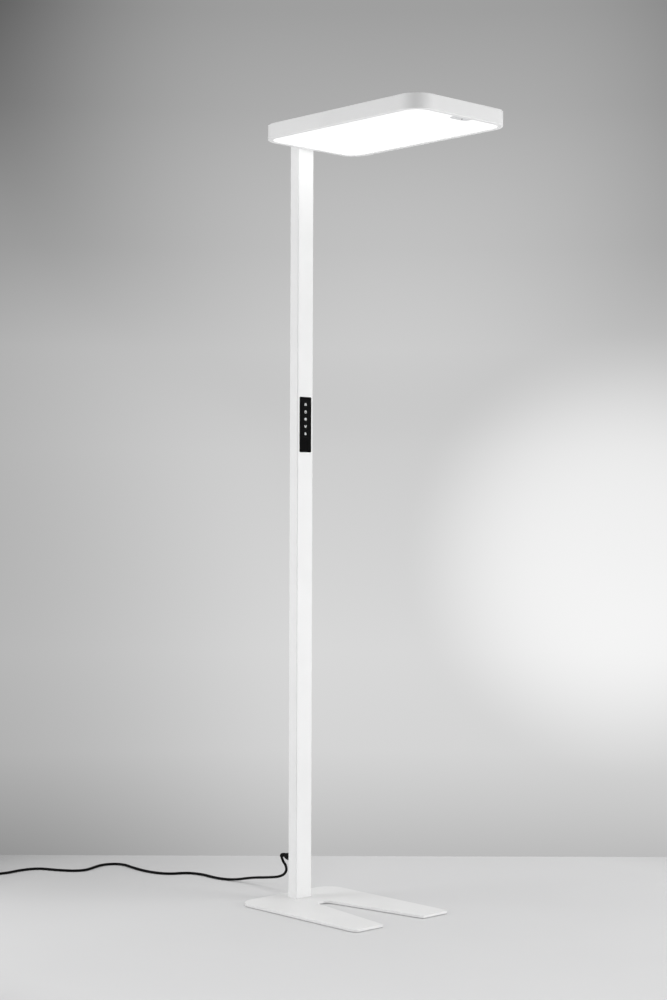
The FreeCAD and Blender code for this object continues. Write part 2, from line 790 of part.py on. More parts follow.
def make_head_bracket():
    """Bent steel angle: its upright leg backs the rear wall, its flat leg carries the chassis."""
    body = new_body("head_bracket")
    outline = [
        (WALL_INSIDE, CHASSIS_TOP),
        (WALL_INSIDE, CHASSIS_TOP + s.bracket_rise),
        (WALL_INSIDE - s.bracket_thickness, CHASSIS_TOP + s.bracket_rise),
        (WALL_INSIDE - s.bracket_thickness, CHASSIS_TOP + s.bracket_thickness),
        (WALL_INSIDE - s.bracket_reach, CHASSIS_TOP + s.bracket_thickness),
        (WALL_INSIDE - s.bracket_reach, CHASSIS_TOP),
    ]
    pad_x(body, "angle", -s.bracket_width / 2, s.bracket_width / 2,
          lambda sketch: draw_polygon(sketch, outline))

    def bend_line(edge):
        box = edge.BoundBox
        along = near(box.YLength, 0) and near(box.ZLength, 0)
        inside = near(box.YMin, WALL_INSIDE - s.bracket_thickness)
        return along and inside and near(box.ZMin, CHASSIS_TOP + s.bracket_thickness)
    blend_edges(body, "Fillet", "bend", s.bracket_thickness / 2, bend_line)
    back = WALL_INSIDE - s.bracket_thickness
    cut_y(body, "passage", back, WALL_INSIDE, spots(s.cable_hole, [(0, NECK_Z)]))
    cut_y(body, "wall_holes", back, WALL_INSIDE,
          spots(s.bracket_screw_radius + s.slide_gap, NECK_SCREWS))
    cut_z(body, "chassis_holes", CHASSIS_TOP, CHASSIS_TOP + s.bracket_thickness,
          spots(s.small_screw_radius + s.slide_gap, CHASSIS_SCREWS))
    place(body, 0, HEAD_Y, HEAD_Z)


def make_bracket_screws():
    """Four screws from inside the head, through wall, spacer and pole into the insert."""
    screws = []
    turn = Rotation(Vector(1, 0, 0), -90)
    for x, z in NECK_SCREWS:
        screw = pan_screw("bracket_screw", s.bracket_screw_radius, s.bracket_screw_length,
                          s.bracket_screw_head, s.bracket_screw_head_height)
        place(screw, x, HEAD_Y + WALL_INSIDE - s.bracket_thickness, HEAD_Z + z, turn)
        screws.append(screw)
    group("bracket_screws", screws)


def make_chassis_screws():
    """Two screws that hold the chassis to the bracket's flat leg."""
    small_screws("chassis_screws", CHASSIS_SCREWS, s.bracket_thickness)


def make_cable_grommet():
    """Rubber sleeve that lines the cable passage from the bracket to the pole's slot."""
    body = new_body("cable_grommet")
    reach = s.bracket_thickness + s.head_wall + s.neck_gap + s.pole_wall + s.insert_web
    outer = s.cable_hole - s.slide_gap
    pad_y(body, "flange", -s.grommet_flange_thickness, 0, spots(s.grommet_flange, [(0, 0)]))
    pad_y(body, "sleeve", 0, reach, spots(outer, [(0, 0)]))
    cut_y(body, "bore", -s.grommet_flange_thickness, reach, spots(outer - s.grommet_wall, [(0, 0)]))
    place(body, 0, HEAD_Y + WALL_INSIDE - s.bracket_thickness, HEAD_Z + NECK_Z)


# Head. Each piece is drawn about the middle of the head's underside.

TAB_X = s.driver_width / 2 + s.driver_tab / 2
TAB_Y = s.driver_length / 2 - s.driver_tab / 2
TAB_SCREWS = [(x, DRIVER_FRONT + s.driver_length / 2 + y) for x, y in four(TAB_X, TAB_Y)]
TRAY_SCREW_X = TRAY_WIDTH / 2 + s.tray_foot / 2
TRAY_SCREW_PITCH = TRAY_LENGTH / 2 - s.tray_screw_inset
TRAY_SCREWS = [(side * TRAY_SCREW_X, WINDOW_MIDDLE + row * TRAY_SCREW_PITCH)
               for row in (-1, 0, 1) for side in (-1, 1)]
PILLAR_X = s.head_width / 2 - s.pillar_side
PILLARS = four(PILLAR_X, s.head_length / 2 - s.pillar_end) + [(-PILLAR_X, 0), (PILLAR_X, 0)]


def sensor_outline(grow, front_gap):
    """Draws the half-round outline of the sensor insert, grown all round but at its front."""
    half = s.sensor_width / 2 + grow
    front = -LIP_FRONT + front_gap

    def draw(sketch):
        draw_rectangle(sketch, s.sensor_x - half, s.sensor_x + half, front,
                       -LIP_FRONT + s.sensor_depth + grow, 0, s.sensor_corner + grow)
    return draw


def make_head_frame():
    """Deep band with a lip round the opening below, and a seat and ledge for the cover above."""
    body = new_body("head_frame")
    inner = s.head_width - 2 * s.head_wall
    inner_length = s.head_length - 2 * s.head_wall
    inner_corner = s.head_corner - s.head_wall
    pad_z(body, "band", 0, s.head_depth, centred(s.head_width, s.head_length, s.head_corner))
    for name, level in (("bottom_round", 0), ("top_round", s.head_depth)):
        blend_edges(body, "Fillet", name, s.head_edge, flat_at_z(level))
    ledge_bottom = COVER_BOTTOM - s.ledge_thickness
    cut_z(body, "cavity", s.lip_thickness, ledge_bottom, centred(inner, inner_length, inner_corner))
    cut_z(body, "light_opening", 0, s.head_depth / 2, centred(
        s.head_width - 2 * s.lip_width, s.head_length - 2 * s.lip_width, s.head_corner - s.lip_width))
    cut_z(body, "ledge_opening", s.head_depth / 2, s.head_depth, centred(
        s.head_width - 2 * s.ledge_width, s.head_length - 2 * s.ledge_width,
        s.head_corner - s.ledge_width))
    cut_z(body, "cover_seat", COVER_BOTTOM, s.head_depth, centred(inner, inner_length, inner_corner))
    rear = s.head_length / 2
    cut_y(body, "neck_passage", rear - s.head_wall, rear, spots(s.cable_hole, [(0, NECK_Z)]))
    cut_y(body, "neck_screw_cut", rear - s.head_wall, rear,
          spots(s.bracket_screw_radius + s.slide_gap, NECK_SCREWS))
    place(body, 0, HEAD_Y, HEAD_Z)


def make_downlight_diffuser():
    """Opal sheet that rests on the lip, cut out for the sensor insert."""
    body = new_body("downlight_diffuser")
    shrink = 2 * (s.head_wall + s.diffuser_gap)
    pad_z(body, "sheet", s.lip_thickness, DIFFUSER_TOP, centred(
        s.head_width - shrink, s.head_length - shrink, s.head_corner - shrink / 2))
    cut_z(body, "sensor_cut", s.lip_thickness, DIFFUSER_TOP, sensor_outline(s.slide_gap, 0))
    place(body, 0, HEAD_Y, HEAD_Z)


def guide_sheet(name, low, high):
    """A sheet with the light guide's outline, cut back round the sensor housing's flange."""
    body = new_body(name)
    pad_z(body, f"{name}_sheet", low, high, centred(2 * GUIDE_X, 2 * GUIDE_Y, GUIDE_CORNER))
    cut_z(body, f"{name}_cut", low, high,
          sensor_outline(s.sensor_flange + s.slide_gap, -s.guide_margin))
    place(body, 0, HEAD_Y, HEAD_Z)
    return body


def make_light_guide():
    """Clear acrylic sheet that spreads the light of the edge strips."""
    guide_sheet("light_guide", DIFFUSER_TOP, GUIDE_TOP)


def make_reflector_sheet():
    """White foil that turns the light downwards."""
    guide_sheet("reflector_sheet", GUIDE_TOP, REFLECTOR_TOP)


def make_chassis_plate():
    """Aluminium plate over the stack, its two long edges bent down behind the LED strips."""
    body = new_body("chassis_plate")
    half = STRIP_X + s.chassis_thickness
    length = GUIDE_Y + s.chassis_margin
    pad_z(body, "plate", REFLECTOR_TOP, CHASSIS_TOP,
          centred(2 * half, 2 * length, GUIDE_CORNER + s.chassis_margin))
    flange_y = GUIDE_Y - s.strip_end_gap

    def draw_flanges(sketch):
        for inner in (-half, STRIP_X):
            draw_rectangle(sketch, inner, inner + s.chassis_thickness, -flange_y, flange_y)
    pad_z(body, "flanges", DIFFUSER_TOP, REFLECTOR_TOP, draw_flanges)
    cut_z(body, "sensor_cut", REFLECTOR_TOP, CHASSIS_TOP,
          sensor_outline(s.sensor_flange + s.slide_gap, -s.guide_margin))
    holes = CHASSIS_SCREWS + TAB_SCREWS + TRAY_SCREWS
    cut_z(body, "screw_holes", REFLECTOR_TOP, CHASSIS_TOP,
          spots(s.small_screw_radius + s.thread_gap, holes))
    place(body, 0, HEAD_Y, HEAD_Z)


def led_count(length):
    """How many LEDs stand on a board of a given length."""
    return int(plain((length - 2 * s.led_margin) / s.led_pitch)) + 1


def make_edge_led_strips():
    """Two thin boards along the light guide's long edges, their LEDs facing it."""
    body = new_body("edge_led_strips")
    half = GUIDE_Y - s.strip_end_gap
    count = led_count(2 * half)
    for side in (-1, 1):
        inner = side * (STRIP_X - s.strip_thickness)
        outer = side * STRIP_X
        left, right = (outer, inner) if side < 0 else (inner, outer)
        pad_z(body, "board", DIFFUSER_TOP, REFLECTOR_TOP,
              lambda sketch: draw_rectangle(sketch, left, right, -half, half))
        reach = side * (STRIP_X - s.strip_thickness - s.led_height)
        low, high = (inner, reach) if side < 0 else (reach, inner)
        start = -(count - 1) / 2 * s.led_pitch

        def draw_first_led(sketch):
            draw_rectangle(sketch, low, high, start - s.led_size / 2, start + s.led_size / 2)
        led = pad_z(body, "led", DIFFUSER_TOP, DIFFUSER_TOP + s.led_size, draw_first_led)
        repeat_y(body, led, count, s.led_pitch)
    place(body, 0, HEAD_Y, HEAD_Z)


def repeat_y(body, feature, count, pitch):
    """Repeats a feature along +Y."""
    pattern = body.newObject("PartDesign::LinearPattern", f"{feature.Name}_row")
    pattern.Originals = [feature]
    pattern.Direction = (feature.Profile[0], ["V_Axis"])
    pattern.Occurrences = count
    bind(pattern, "Length", (count - 1) * pitch)
    body.Tip = pattern
    return pattern


def make_support_pillars():
    """Six posts between chassis and cover, bored for the cover's screws."""
    body = new_body("support_pillars")
    pad_z(body, "posts", CHASSIS_TOP, COVER_BOTTOM, spots(s.pillar_radius, PILLARS))
    cut_z(body, "threads", CHASSIS_TOP, COVER_BOTTOM,
          spots(s.cover_screw_radius + s.thread_gap, PILLARS))
    place(body, 0, HEAD_Y, HEAD_Z)


def make_top_cover():
    """Steel sheet in the frame's seat, with the up-light opening and six countersunk holes."""
    body = new_body("top_cover")
    shrink = 2 * (s.head_wall + s.cover_gap)
    pad_z(body, "sheet", COVER_BOTTOM, s.head_depth, centred(
        s.head_width - shrink, s.head_length - shrink, s.head_corner - shrink / 2))
    cut_z(body, "window_opening", COVER_BOTTOM, s.head_depth,
          window_outline(WINDOW_WIDTH, WINDOW_LENGTH, s.window_corner))
    bore = s.cover_screw_radius + s.slide_gap
    cut_z(body, "screw_holes", COVER_BOTTOM, s.head_depth, spots(bore, PILLARS))

    def hole_rim(edge):
        round_hole = near(edge.BoundBox.XLength, 2 * bore) and near(edge.BoundBox.YLength, 2 * bore)
        return round_hole and flat_at_z(s.head_depth)(edge)
    blend_edges(body, "Chamfer", "sinks", s.cover_screw_head - bore, hole_rim)
    place(body, 0, HEAD_Y, HEAD_Z)


def window_outline(width, length, corner):
    """Draws a rounded rectangle about the up-light's own middle."""
    def draw(sketch):
        draw_rectangle(sketch, -width / 2, width / 2, WINDOW_MIDDLE - length / 2,
                       WINDOW_MIDDLE + length / 2, corner, corner)
    return draw


def make_uplight_window():
    """Clear panel that fills the cover's opening and laps under its edge."""
    body = new_body("uplight_window")
    rim = 2 * s.window_rim
    pad_z(body, "rim", COVER_BOTTOM - s.window_rim_thickness, COVER_BOTTOM, window_outline(
        WINDOW_WIDTH + rim, WINDOW_LENGTH + rim, s.window_corner + s.window_rim))
    gap = 2 * s.slide_gap
    pad_z(body, "pane", COVER_BOTTOM, s.head_depth, window_outline(
        WINDOW_WIDTH - gap, WINDOW_LENGTH - gap, s.window_corner - s.slide_gap))
    place(body, 0, HEAD_Y, HEAD_Z)


def make_uplight_tray():
    """Folded sheet under the window: a raised deck on two legs with outward feet."""
    body = new_body("uplight_tray")
    half = TRAY_WIDTH / 2
    sheet_size = s.tray_sheet
    top = CHASSIS_TOP + s.tray_height
    foot = CHASSIS_TOP + sheet_size
    outline = [
        (-half - s.tray_foot, CHASSIS_TOP),
        (-half + sheet_size, CHASSIS_TOP),
        (-half + sheet_size, top - sheet_size),
        (half - sheet_size, top - sheet_size),
        (half - sheet_size, CHASSIS_TOP),
        (half + s.tray_foot, CHASSIS_TOP),
        (half + s.tray_foot, foot),
        (half, foot),
        (half, top),
        (-half, top),
        (-half, foot),
        (-half - s.tray_foot, foot),
    ]
    pad_y(body, "section", WINDOW_MIDDLE - TRAY_LENGTH / 2, WINDOW_MIDDLE + TRAY_LENGTH / 2,
          lambda sketch: draw_polygon(sketch, outline))
    cut_z(body, "foot_holes", CHASSIS_TOP, foot,
          spots(s.small_screw_radius + s.slide_gap, TRAY_SCREWS))
    place(body, 0, HEAD_Y, HEAD_Z)


def make_uplight_led_boards():
    """Three boards on the tray, each with a row of LEDs facing up."""
    body = new_body("uplight_led_boards")
    low = CHASSIS_TOP + s.tray_height
    count = led_count(BOARD_LENGTH)
    start = WINDOW_MIDDLE - (count - 1) / 2 * s.led_pitch
    columns = [(i - (UPLIGHT_BOARDS - 1) / 2) for i in range(UPLIGHT_BOARDS)]

    def draw_boards(sketch):
        for step in columns:
            x = step * s.board_pitch
            draw_rectangle(sketch, x - s.board_width / 2, x + s.board_width / 2,
                           WINDOW_MIDDLE - BOARD_LENGTH / 2, WINDOW_MIDDLE + BOARD_LENGTH / 2)

    def draw_leds(sketch):
        for step in columns:
            x = step * s.board_pitch
            draw_rectangle(sketch, x - s.led_size / 2, x + s.led_size / 2,
                           start - s.led_size / 2, start + s.led_size / 2)
    pad_z(body, "boards", low, low + s.board_thickness, draw_boards)
    leds = pad_z(body, "leds", low + s.board_thickness,
                 low + s.board_thickness + s.led_height, draw_leds)
    repeat_y(body, leds, count, s.led_pitch)
    place(body, 0, HEAD_Y, HEAD_Z)


def make_led_driver():
    """Driver box with a screw tab at each end, behind the up-light tray."""
    body = new_body("led_driver")
    half = s.driver_width / 2
    pad_z(body, "tabs", CHASSIS_TOP, CHASSIS_TOP + s.driver_tab_thickness, lambda sketch: draw_rectangle(
        sketch, -half - s.driver_tab, half + s.driver_tab, DRIVER_FRONT, DRIVER_REAR))
    pad_z(body, "box", CHASSIS_TOP, CHASSIS_TOP + s.driver_height, lambda sketch: draw_rectangle(
        sketch, -half, half, DRIVER_FRONT, DRIVER_REAR))
    cut_z(body, "tab_holes", CHASSIS_TOP, CHASSIS_TOP + s.driver_tab_thickness,
          spots(s.small_screw_radius + s.slide_gap, TAB_SCREWS))
    place(body, 0, HEAD_Y, HEAD_Z)


def make_driver_screws():
    """Four pan-head screws through the driver's tabs."""
    small_screws("driver_screws", TAB_SCREWS, s.driver_tab_thickness)


def make_tray_screws():
    """Six pan-head screws through the tray's feet."""
    small_screws("tray_screws", TRAY_SCREWS, s.tray_sheet)


def small_screws(name, places, grip):
    """Pan-head screws that hold something of a given thickness down on the chassis."""
    screws = []
    turn = Rotation(Vector(1, 0, 0), 180)
    for x, y in places:
        screw = pan_screw(name[:-1], s.small_screw_radius, grip + s.chassis_thickness,
                          s.small_screw_head, s.small_screw_head_height)
        place(screw, x, HEAD_Y + y, HEAD_Z + CHASSIS_TOP + grip, turn)
        screws.append(screw)
    group(name, screws)


def make_cover_screws():
    """Six countersunk screws, flush with the cover."""
    screws = []
    turn = Rotation(Vector(1, 0, 0), 180)
    for x, y in PILLARS:
        screw = sunk_screw("cover_screw", s.cover_screw_radius, s.cover_screw_length,
                           s.cover_screw_head)
        place(screw, x, HEAD_Y + y, HEAD_Z + s.head_depth, turn)
        screws.append(screw)
    group("cover_screws", screws)


def make_sensor_housing():
    """Half-round cup, a little right of the middle, whose face shows in the diffuser."""
    body = new_body("sensor_housing")
    pad_z(body, "face_block", SENSOR_FACE, CHASSIS_TOP, sensor_outline(0, s.slide_gap))
    pad_z(body, "flange", DIFFUSER_TOP, DIFFUSER_TOP + s.sensor_wall,
          sensor_outline(s.sensor_flange, s.slide_gap))
    cut_z(body, "hollow", SENSOR_BOARD_Z, CHASSIS_TOP,
          sensor_outline(-s.sensor_wall, s.slide_gap + s.sensor_wall))
    inset = s.sensor_wall + s.sensor_ledge
    cut_z(body, "well", SENSOR_INSIDE, SENSOR_BOARD_Z,
          sensor_outline(-inset, s.slide_gap + inset))
    cut_z(body, "lens_hole", SENSOR_FACE, SENSOR_INSIDE,
          spots(s.lens_radius + s.thread_gap, [(LENS_X, SENSOR_MIDDLE)]))
    cut_z(body, "daylight_hole", SENSOR_FACE, SENSOR_INSIDE,
          spots(s.daylight_radius + s.thread_gap, [(DAYLIGHT_X, SENSOR_MIDDLE)]))
    place(body, 0, HEAD_Y, HEAD_Z)


SENSOR_FACE = s.lip_thickness - s.sensor_drop
SENSOR_INSIDE = SENSOR_FACE + s.sensor_wall
SENSOR_BOARD_Z = SENSOR_INSIDE + s.sensor_board_rise
SENSOR_MIDDLE = -LIP_FRONT + s.sensor_depth / 2
LENS_X = s.sensor_x + s.lens_shift
DAYLIGHT_X = s.sensor_x - s.daylight_shift
SENSOR_CABLE_X = s.sensor_x + s.sensor_cable_shift


def collared_rod(name, radius):
    """A round insert that fills a hole of the sensor's face, with a collar up to the board."""
    stem = rod(f"{name}_stem", radius, s.sensor_wall)
    collar = rod(f"{name}_collar", radius + s.collar_width, s.sensor_board_rise)
    place(collar, 0, 0, s.sensor_wall)
    return fuse(f"{name}_insert", stem, collar)


def make_sensor_lens():
    """Dark presence lens with a domed tip below the sensor's face."""
    insert = collared_rod("lens", s.lens_radius)
    dome = doc.addObject("Part::Sphere", "lens_dome")
    bind(dome, "Radius", s.lens_radius)
    place(dome, 0, 0, s.lens_lift)
    lens = keep("sensor_lens", fuse("sensor_lens", insert, dome))
    place(lens, LENS_X, HEAD_Y + SENSOR_MIDDLE, HEAD_Z + SENSOR_FACE)


def make_daylight_window():
    """Flat grey window of the daylight sensor."""
    window = keep("daylight_window", collared_rod("daylight", s.daylight_radius))
    place(window, DAYLIGHT_X, HEAD_Y + SENSOR_MIDDLE, HEAD_Z + SENSOR_FACE)


def make_sensor_board():
    """Small board on the ledge inside the sensor housing."""
    body = new_body("sensor_board")
    inset = s.sensor_wall + s.slide_gap
    pad_z(body, "board", SENSOR_BOARD_Z, SENSOR_BOARD_Z + s.sensor_board_thickness,
          sensor_outline(-inset, s.slide_gap + inset))
    place(body, 0, HEAD_Y, HEAD_Z)


# Control strip, in a frame at the strip's lower end on the pole's front face

BEZEL_BACK = s.bezel_depth - s.strip_proud
FLANGE_FRONT = BEZEL_BACK + s.key_back_gap
KEY_BACK = FLANGE_FRONT + s.key_flange_thickness
SWITCH_FRONT = KEY_BACK + s.switch_clear
BOARD_FRONT = SWITCH_FRONT + s.switch_height
BOARD_BACK = BOARD_FRONT + s.keypad_board_thickness
HOUSING_FLOOR = BOARD_BACK + s.housing_post
HOUSING_BACK = HOUSING_FLOOR + s.housing_wall
KEY_LEVELS = [s.strip_height - s.key_first - i * s.key_pitch for i in range(KEY_COUNT)]
STRIP_MIDDLE = s.strip_height / 2
HOUSING_WIDTH = OPENING_WIDTH - 2 * s.slide_gap
HOUSING_HEIGHT = OPENING_HEIGHT - 2 * s.slide_gap
KEYPAD_BOARD_WIDTH = HOUSING_WIDTH - 2 * (s.housing_wall + s.keypad_board_gap)
KEYPAD_BOARD_LENGTH = HOUSING_HEIGHT - 2 * (s.housing_wall + s.keypad_board_gap)
FRONT_Y = POLE_Y - s.pole_depth / 2


def upright(width, height, middle, corner=0):
    """Draws a rectangle in x and z about a height on the lamp's middle plane."""
    def draw(sketch):
        draw_rectangle(sketch, -width / 2, width / 2, middle - height / 2, middle + height / 2,
                       corner, corner)
    return draw


def make_control_bezel():
    """Black strip with a rim that laps over the pole's opening, and five key windows."""
    body = new_body("control_bezel")
    pad_y(body, "face", -s.strip_proud, 0,
          upright(s.strip_width, s.strip_height, STRIP_MIDDLE, s.strip_corner))
    blend_edges(body, "Chamfer", "face_edge", s.strip_edge, flat_at_y(-s.strip_proud))
    pad_y(body, "body", 0, BEZEL_BACK, upright(HOUSING_WIDTH, HOUSING_HEIGHT, STRIP_MIDDLE))

    def draw_windows(sketch):
        for level in KEY_LEVELS:
            upright(s.key_width + 2 * s.key_gap, s.key_height + 2 * s.key_gap, level,
                    s.key_corner + s.key_gap)(sketch)
    cut_y(body, "windows", -s.strip_proud, BEZEL_BACK, draw_windows)
    place(body, 0, FRONT_Y, s.strip_bottom)


def make_key(number, level):
    """One flush key with a flange behind the bezel."""
    body = new_body(f"key_{number}")
    pad_y(body, f"cap_{number}", -s.strip_proud, KEY_BACK,
          upright(s.key_width, s.key_height, level, s.key_corner))
    pad_y(body, f"flange_{number}", FLANGE_FRONT, KEY_BACK,
          upright(s.key_width + 2 * s.key_flange, s.key_height + 2 * s.key_flange, level))
    place(body, 0, FRONT_Y, s.strip_bottom)


def make_plunger(number, level):
    """The switch's plunger, which the key pushes in."""
    body = new_body(f"switch_plunger_{number}")
    pad_y(body, f"stem_{number}", KEY_BACK, KEY_BACK + s.plunger_length,
          spots(s.plunger_radius, [(0, level)]))
    place(body, 0, FRONT_Y, s.strip_bottom)


def make_key_switches():
    """Five square switch bodies, bored for their plungers."""
    body = new_body("key_switches")

    def draw_bodies(sketch):
        for level in KEY_LEVELS:
            upright(s.switch_size, s.switch_size, level)(sketch)
    pad_y(body, "bodies", SWITCH_FRONT, BOARD_FRONT, draw_bodies)
    bore_end = KEY_BACK + s.plunger_length + s.key_travel + s.plunger_clear
    cut_y(body, "bores", SWITCH_FRONT, bore_end,
          spots(s.plunger_radius + s.plunger_gap, [(0, level) for level in KEY_LEVELS]))
    place(body, 0, FRONT_Y, s.strip_bottom)


def make_keypad_board():
    """The board behind the keys."""
    body = new_body("keypad_board")
    pad_y(body, "board", BOARD_FRONT, BOARD_BACK,
          upright(KEYPAD_BOARD_WIDTH, KEYPAD_BOARD_LENGTH, STRIP_MIDDLE))
    place(body, 0, FRONT_Y, s.strip_bottom)


def make_keypad_housing():
    """Tray behind the bezel, with posts under the board and a snap lug at each end."""
    body = new_body("keypad_housing")
    wall = 2 * s.housing_wall
    pad_y(body, "box", BEZEL_BACK, HOUSING_BACK, upright(HOUSING_WIDTH, HOUSING_HEIGHT, STRIP_MIDDLE))
    cut_y(body, "hollow", BEZEL_BACK, HOUSING_FLOOR,
          upright(HOUSING_WIDTH - wall, HOUSING_HEIGHT - wall, STRIP_MIDDLE))
    post_x = KEYPAD_BOARD_WIDTH / 2 - wall
    post_z = KEYPAD_BOARD_LENGTH / 2 - wall
    pad_y(body, "posts", BOARD_BACK, HOUSING_FLOOR, spots(
        s.housing_wall, [(x, STRIP_MIDDLE + z) for x, z in four(post_x, post_z)]))

    def draw_lugs(sketch):
        for side in (-1, 1):
            edge = STRIP_MIDDLE + side * HOUSING_HEIGHT / 2
            lug = s.housing_lug + s.slide_gap
            low, high = (edge - lug, edge) if side < 0 else (edge, edge + lug)
            draw_rectangle(sketch, -s.plunger_length, s.plunger_length, low, high)
    pad_y(body, "lugs", BEZEL_BACK, BEZEL_BACK + 2 * s.housing_lug, draw_lugs)
    place(body, 0, FRONT_Y, s.strip_bottom)


# Mains inlet, in a frame at its centre on the pole's rear face with +Y pointing out

REAR_Y = POLE_Y + s.pole_depth / 2
RECESS_FLOOR = s.inlet_flange_thickness - s.inlet_recess_depth
INLET_BACK = s.inlet_flange_thickness - s.inlet_body_depth
RECESS_WIDTH = s.inlet_body_width - 2 * s.inlet_wall
RECESS_HEIGHT = s.inlet_body_height - 2 * s.inlet_wall
PIN_SPOTS = [
    (-s.pin_pitch / 2, -s.pin_line_drop),
    (s.pin_pitch / 2, -s.pin_line_drop),
    (0, s.pin_earth_rise),
]


def socket_outline(width, height):
    """Draws the inlet's six-sided outline: a rectangle with its two upper corners cut."""
    x = width / 2
    z = height / 2
    cut = s.inlet_chamfer

    def draw(sketch):
        draw_polygon(sketch, [(-x, -z), (x, -z), (x, z - cut), (x - cut, z), (cut - x, z), (-x, z - cut)])
    return draw


def pin_slots(gap):
    """Draws the three slots for the contact pins, each wider than its pin by a gap."""
    half_x = (s.pin_width + gap) / 2
    half_z = (s.pin_height + gap) / 2

    def draw(sketch):
        for x, z in PIN_SPOTS:
            draw_rectangle(sketch, x - half_x, x + half_x, z - half_z, z + half_z)
    return draw


def make_inlet_socket():
    """Flanged inlet body with a six-sided recess and two snap lugs behind the pole's wall."""
    body = new_body("inlet_socket")
    lap = 2 * s.inlet_flange_lap
    pad_y(body, "flange", 0, s.inlet_flange_thickness, centred(
        s.inlet_body_width + lap, s.inlet_body_height + lap, s.inlet_flange_corner))
    pad_y(body, "case", INLET_BACK, 0, centred(s.inlet_body_width, s.inlet_body_height))
    behind = -s.pole_wall - s.slide_gap

    def draw_lugs(sketch):
        for side in (-1, 1):
            edge = side * s.inlet_body_width / 2
            lug = s.inlet_lug
            left, right = (edge - lug, edge) if side < 0 else (edge, edge + lug)
            draw_rectangle(sketch, left, right, -s.pin_height, s.pin_height)
    pad_y(body, "lugs", behind - 2 * s.inlet_lug, behind, draw_lugs)
    cut_y(body, "recess", RECESS_FLOOR, s.inlet_flange_thickness,
          socket_outline(RECESS_WIDTH, RECESS_HEIGHT))
    cut_y(body, "pin_slots", INLET_BACK, RECESS_FLOOR, pin_slots(0))
    place(body, 0, REAR_Y, s.inlet_height)


def make_inlet_pins():
    """Three flat contact pins that run from their solder tabs into the recess."""
    pins = []
    for x, z in PIN_SPOTS:
        low = (x - s.pin_width / 2, REAR_Y + INLET_BACK - s.tab_length,
               s.inlet_height + z - s.pin_height / 2)
        length = RECESS_FLOOR - INLET_BACK + s.tab_length + s.pin_length
        pins.append(block("inlet_pin", s.pin_width, length, s.pin_height, low))
    group("inlet_pins", pins)


def make_terminal_boot():
    """Rubber cover over the inlet's solder tabs, which the supply cable leaves at its top."""
    body = new_body("terminal_boot")
    far = INLET_BACK
    pad_y(body, "shell", far - s.boot_depth, far, centred(s.boot_width, s.boot_height))
    cut_y(body, "hollow", far - s.boot_depth + s.boot_wall, far,
          centred(s.boot_width - 2 * s.boot_wall, s.boot_height - 2 * s.boot_wall))
    place(body, 0, REAR_Y, s.inlet_height)


# Paths of cables and of the mains cord


def unit(vector):
    """The vector at length one."""
    return Vector(vector).normalize()


def arc_from(start, tangent, end):
    """The arc that leaves start along tangent and reaches end, or a line where it has no bend."""
    chord = end - start
    across = chord - tangent * chord.dot(tangent)
    if across.Length < 1e-6:
        return Part.LineSegment(start, end)
    side = unit(across)
    radius = chord.dot(chord) / (2 * chord.dot(side))
    centre = start + side * radius
    middle = unit((start + end) * 0.5 - centre) * radius
    if chord.dot(tangent) < 0:
        middle = -middle
    return Part.Arc(start, centre + middle, end)


def biarc(start, leaving, end, arriving):
    """Two tangent arcs from start to end with the given directions."""
    chord = end - start
    both = leaving + arriving
    square = 2 * (1 - leaving.dot(arriving))
    middle = chord.dot(both)
    if square < 1e-9:
        reach = chord.dot(chord) / (4 * chord.dot(arriving))
    else:
        root = math.sqrt(middle * middle + square * chord.dot(chord))
        reach = (root - middle) / square
    joint = (start + leaving * reach + end - arriving * reach) * 0.5
    second = arc_from(end, -arriving, joint)
    back = second.StartPoint if second.StartPoint.distanceToPoint(joint) < 1e-6 else second.EndPoint
    first = arc_from(start, leaving, back)
    return [first, arc_from(end, -arriving, joint)]


def rounded_route(points, label, last_limit=math.inf):
    """Straight runs joined by tangent arcs as large as the runs allow; prints the radii."""
    edges = []
    last = points[0]
    radii = []
    for before, corner, after in zip(points, points[1:], points[2:]):
        limit = last_limit if after is points[-1] else math.inf
        arriving = unit(corner - before)
        leaving = unit(after - corner)
        half = arriving.getAngle(leaving) / 2
        shorter = min(before.distanceToPoint(corner), corner.distanceToPoint(after))
        radius = min(0.45 * shorter / math.tan(half), limit)
        inset = radius * math.tan(half)
        enter = corner - arriving * inset
        leave = corner + leaving * inset
        edges.append(Part.LineSegment(last, enter).toShape())
        edges.append(arc_from(enter, arriving, leave).toShape())
        radii.append(radius)
        last = leave
    edges.append(Part.LineSegment(last, points[-1]).toShape())
    if radii:
        print(f"{label}: radii {', '.join(f'{radius:.0f}' for radius in radii)}")
    return Part.Wire(edges)


def tube(name, wire, radius, start, heading):
    """A round tube along a wire, compared with its section times its length."""
    ring = Part.Wire([Part.Circle(start, heading, radius).toShape()])
    shape = wire.makePipeShell([ring], True, False)
    expected = math.pi * radius * radius * wire.Length
    share = shape.Volume / expected
    print(f"{name}: length {wire.Length:.1f} mm, volume {share:.4f} of section times length")
    thing = doc.addObject("Part::Feature", name)
    thing.Shape = shape
    return keep(name, thing)


def held_cable(name, points, radius, last_limit=math.inf):
    """A cable that the lamp holds along its whole way."""
    wire = rounded_route(points, name, last_limit)
    cable = tube(name, wire, radius, points[0], unit(points[1] - points[0]))
    place(cable, 0, POLE_Y, 0)


def at(x, y, z):
    """A point from three amounts or numbers."""
    return Vector(plain(x), plain(y), plain(z))


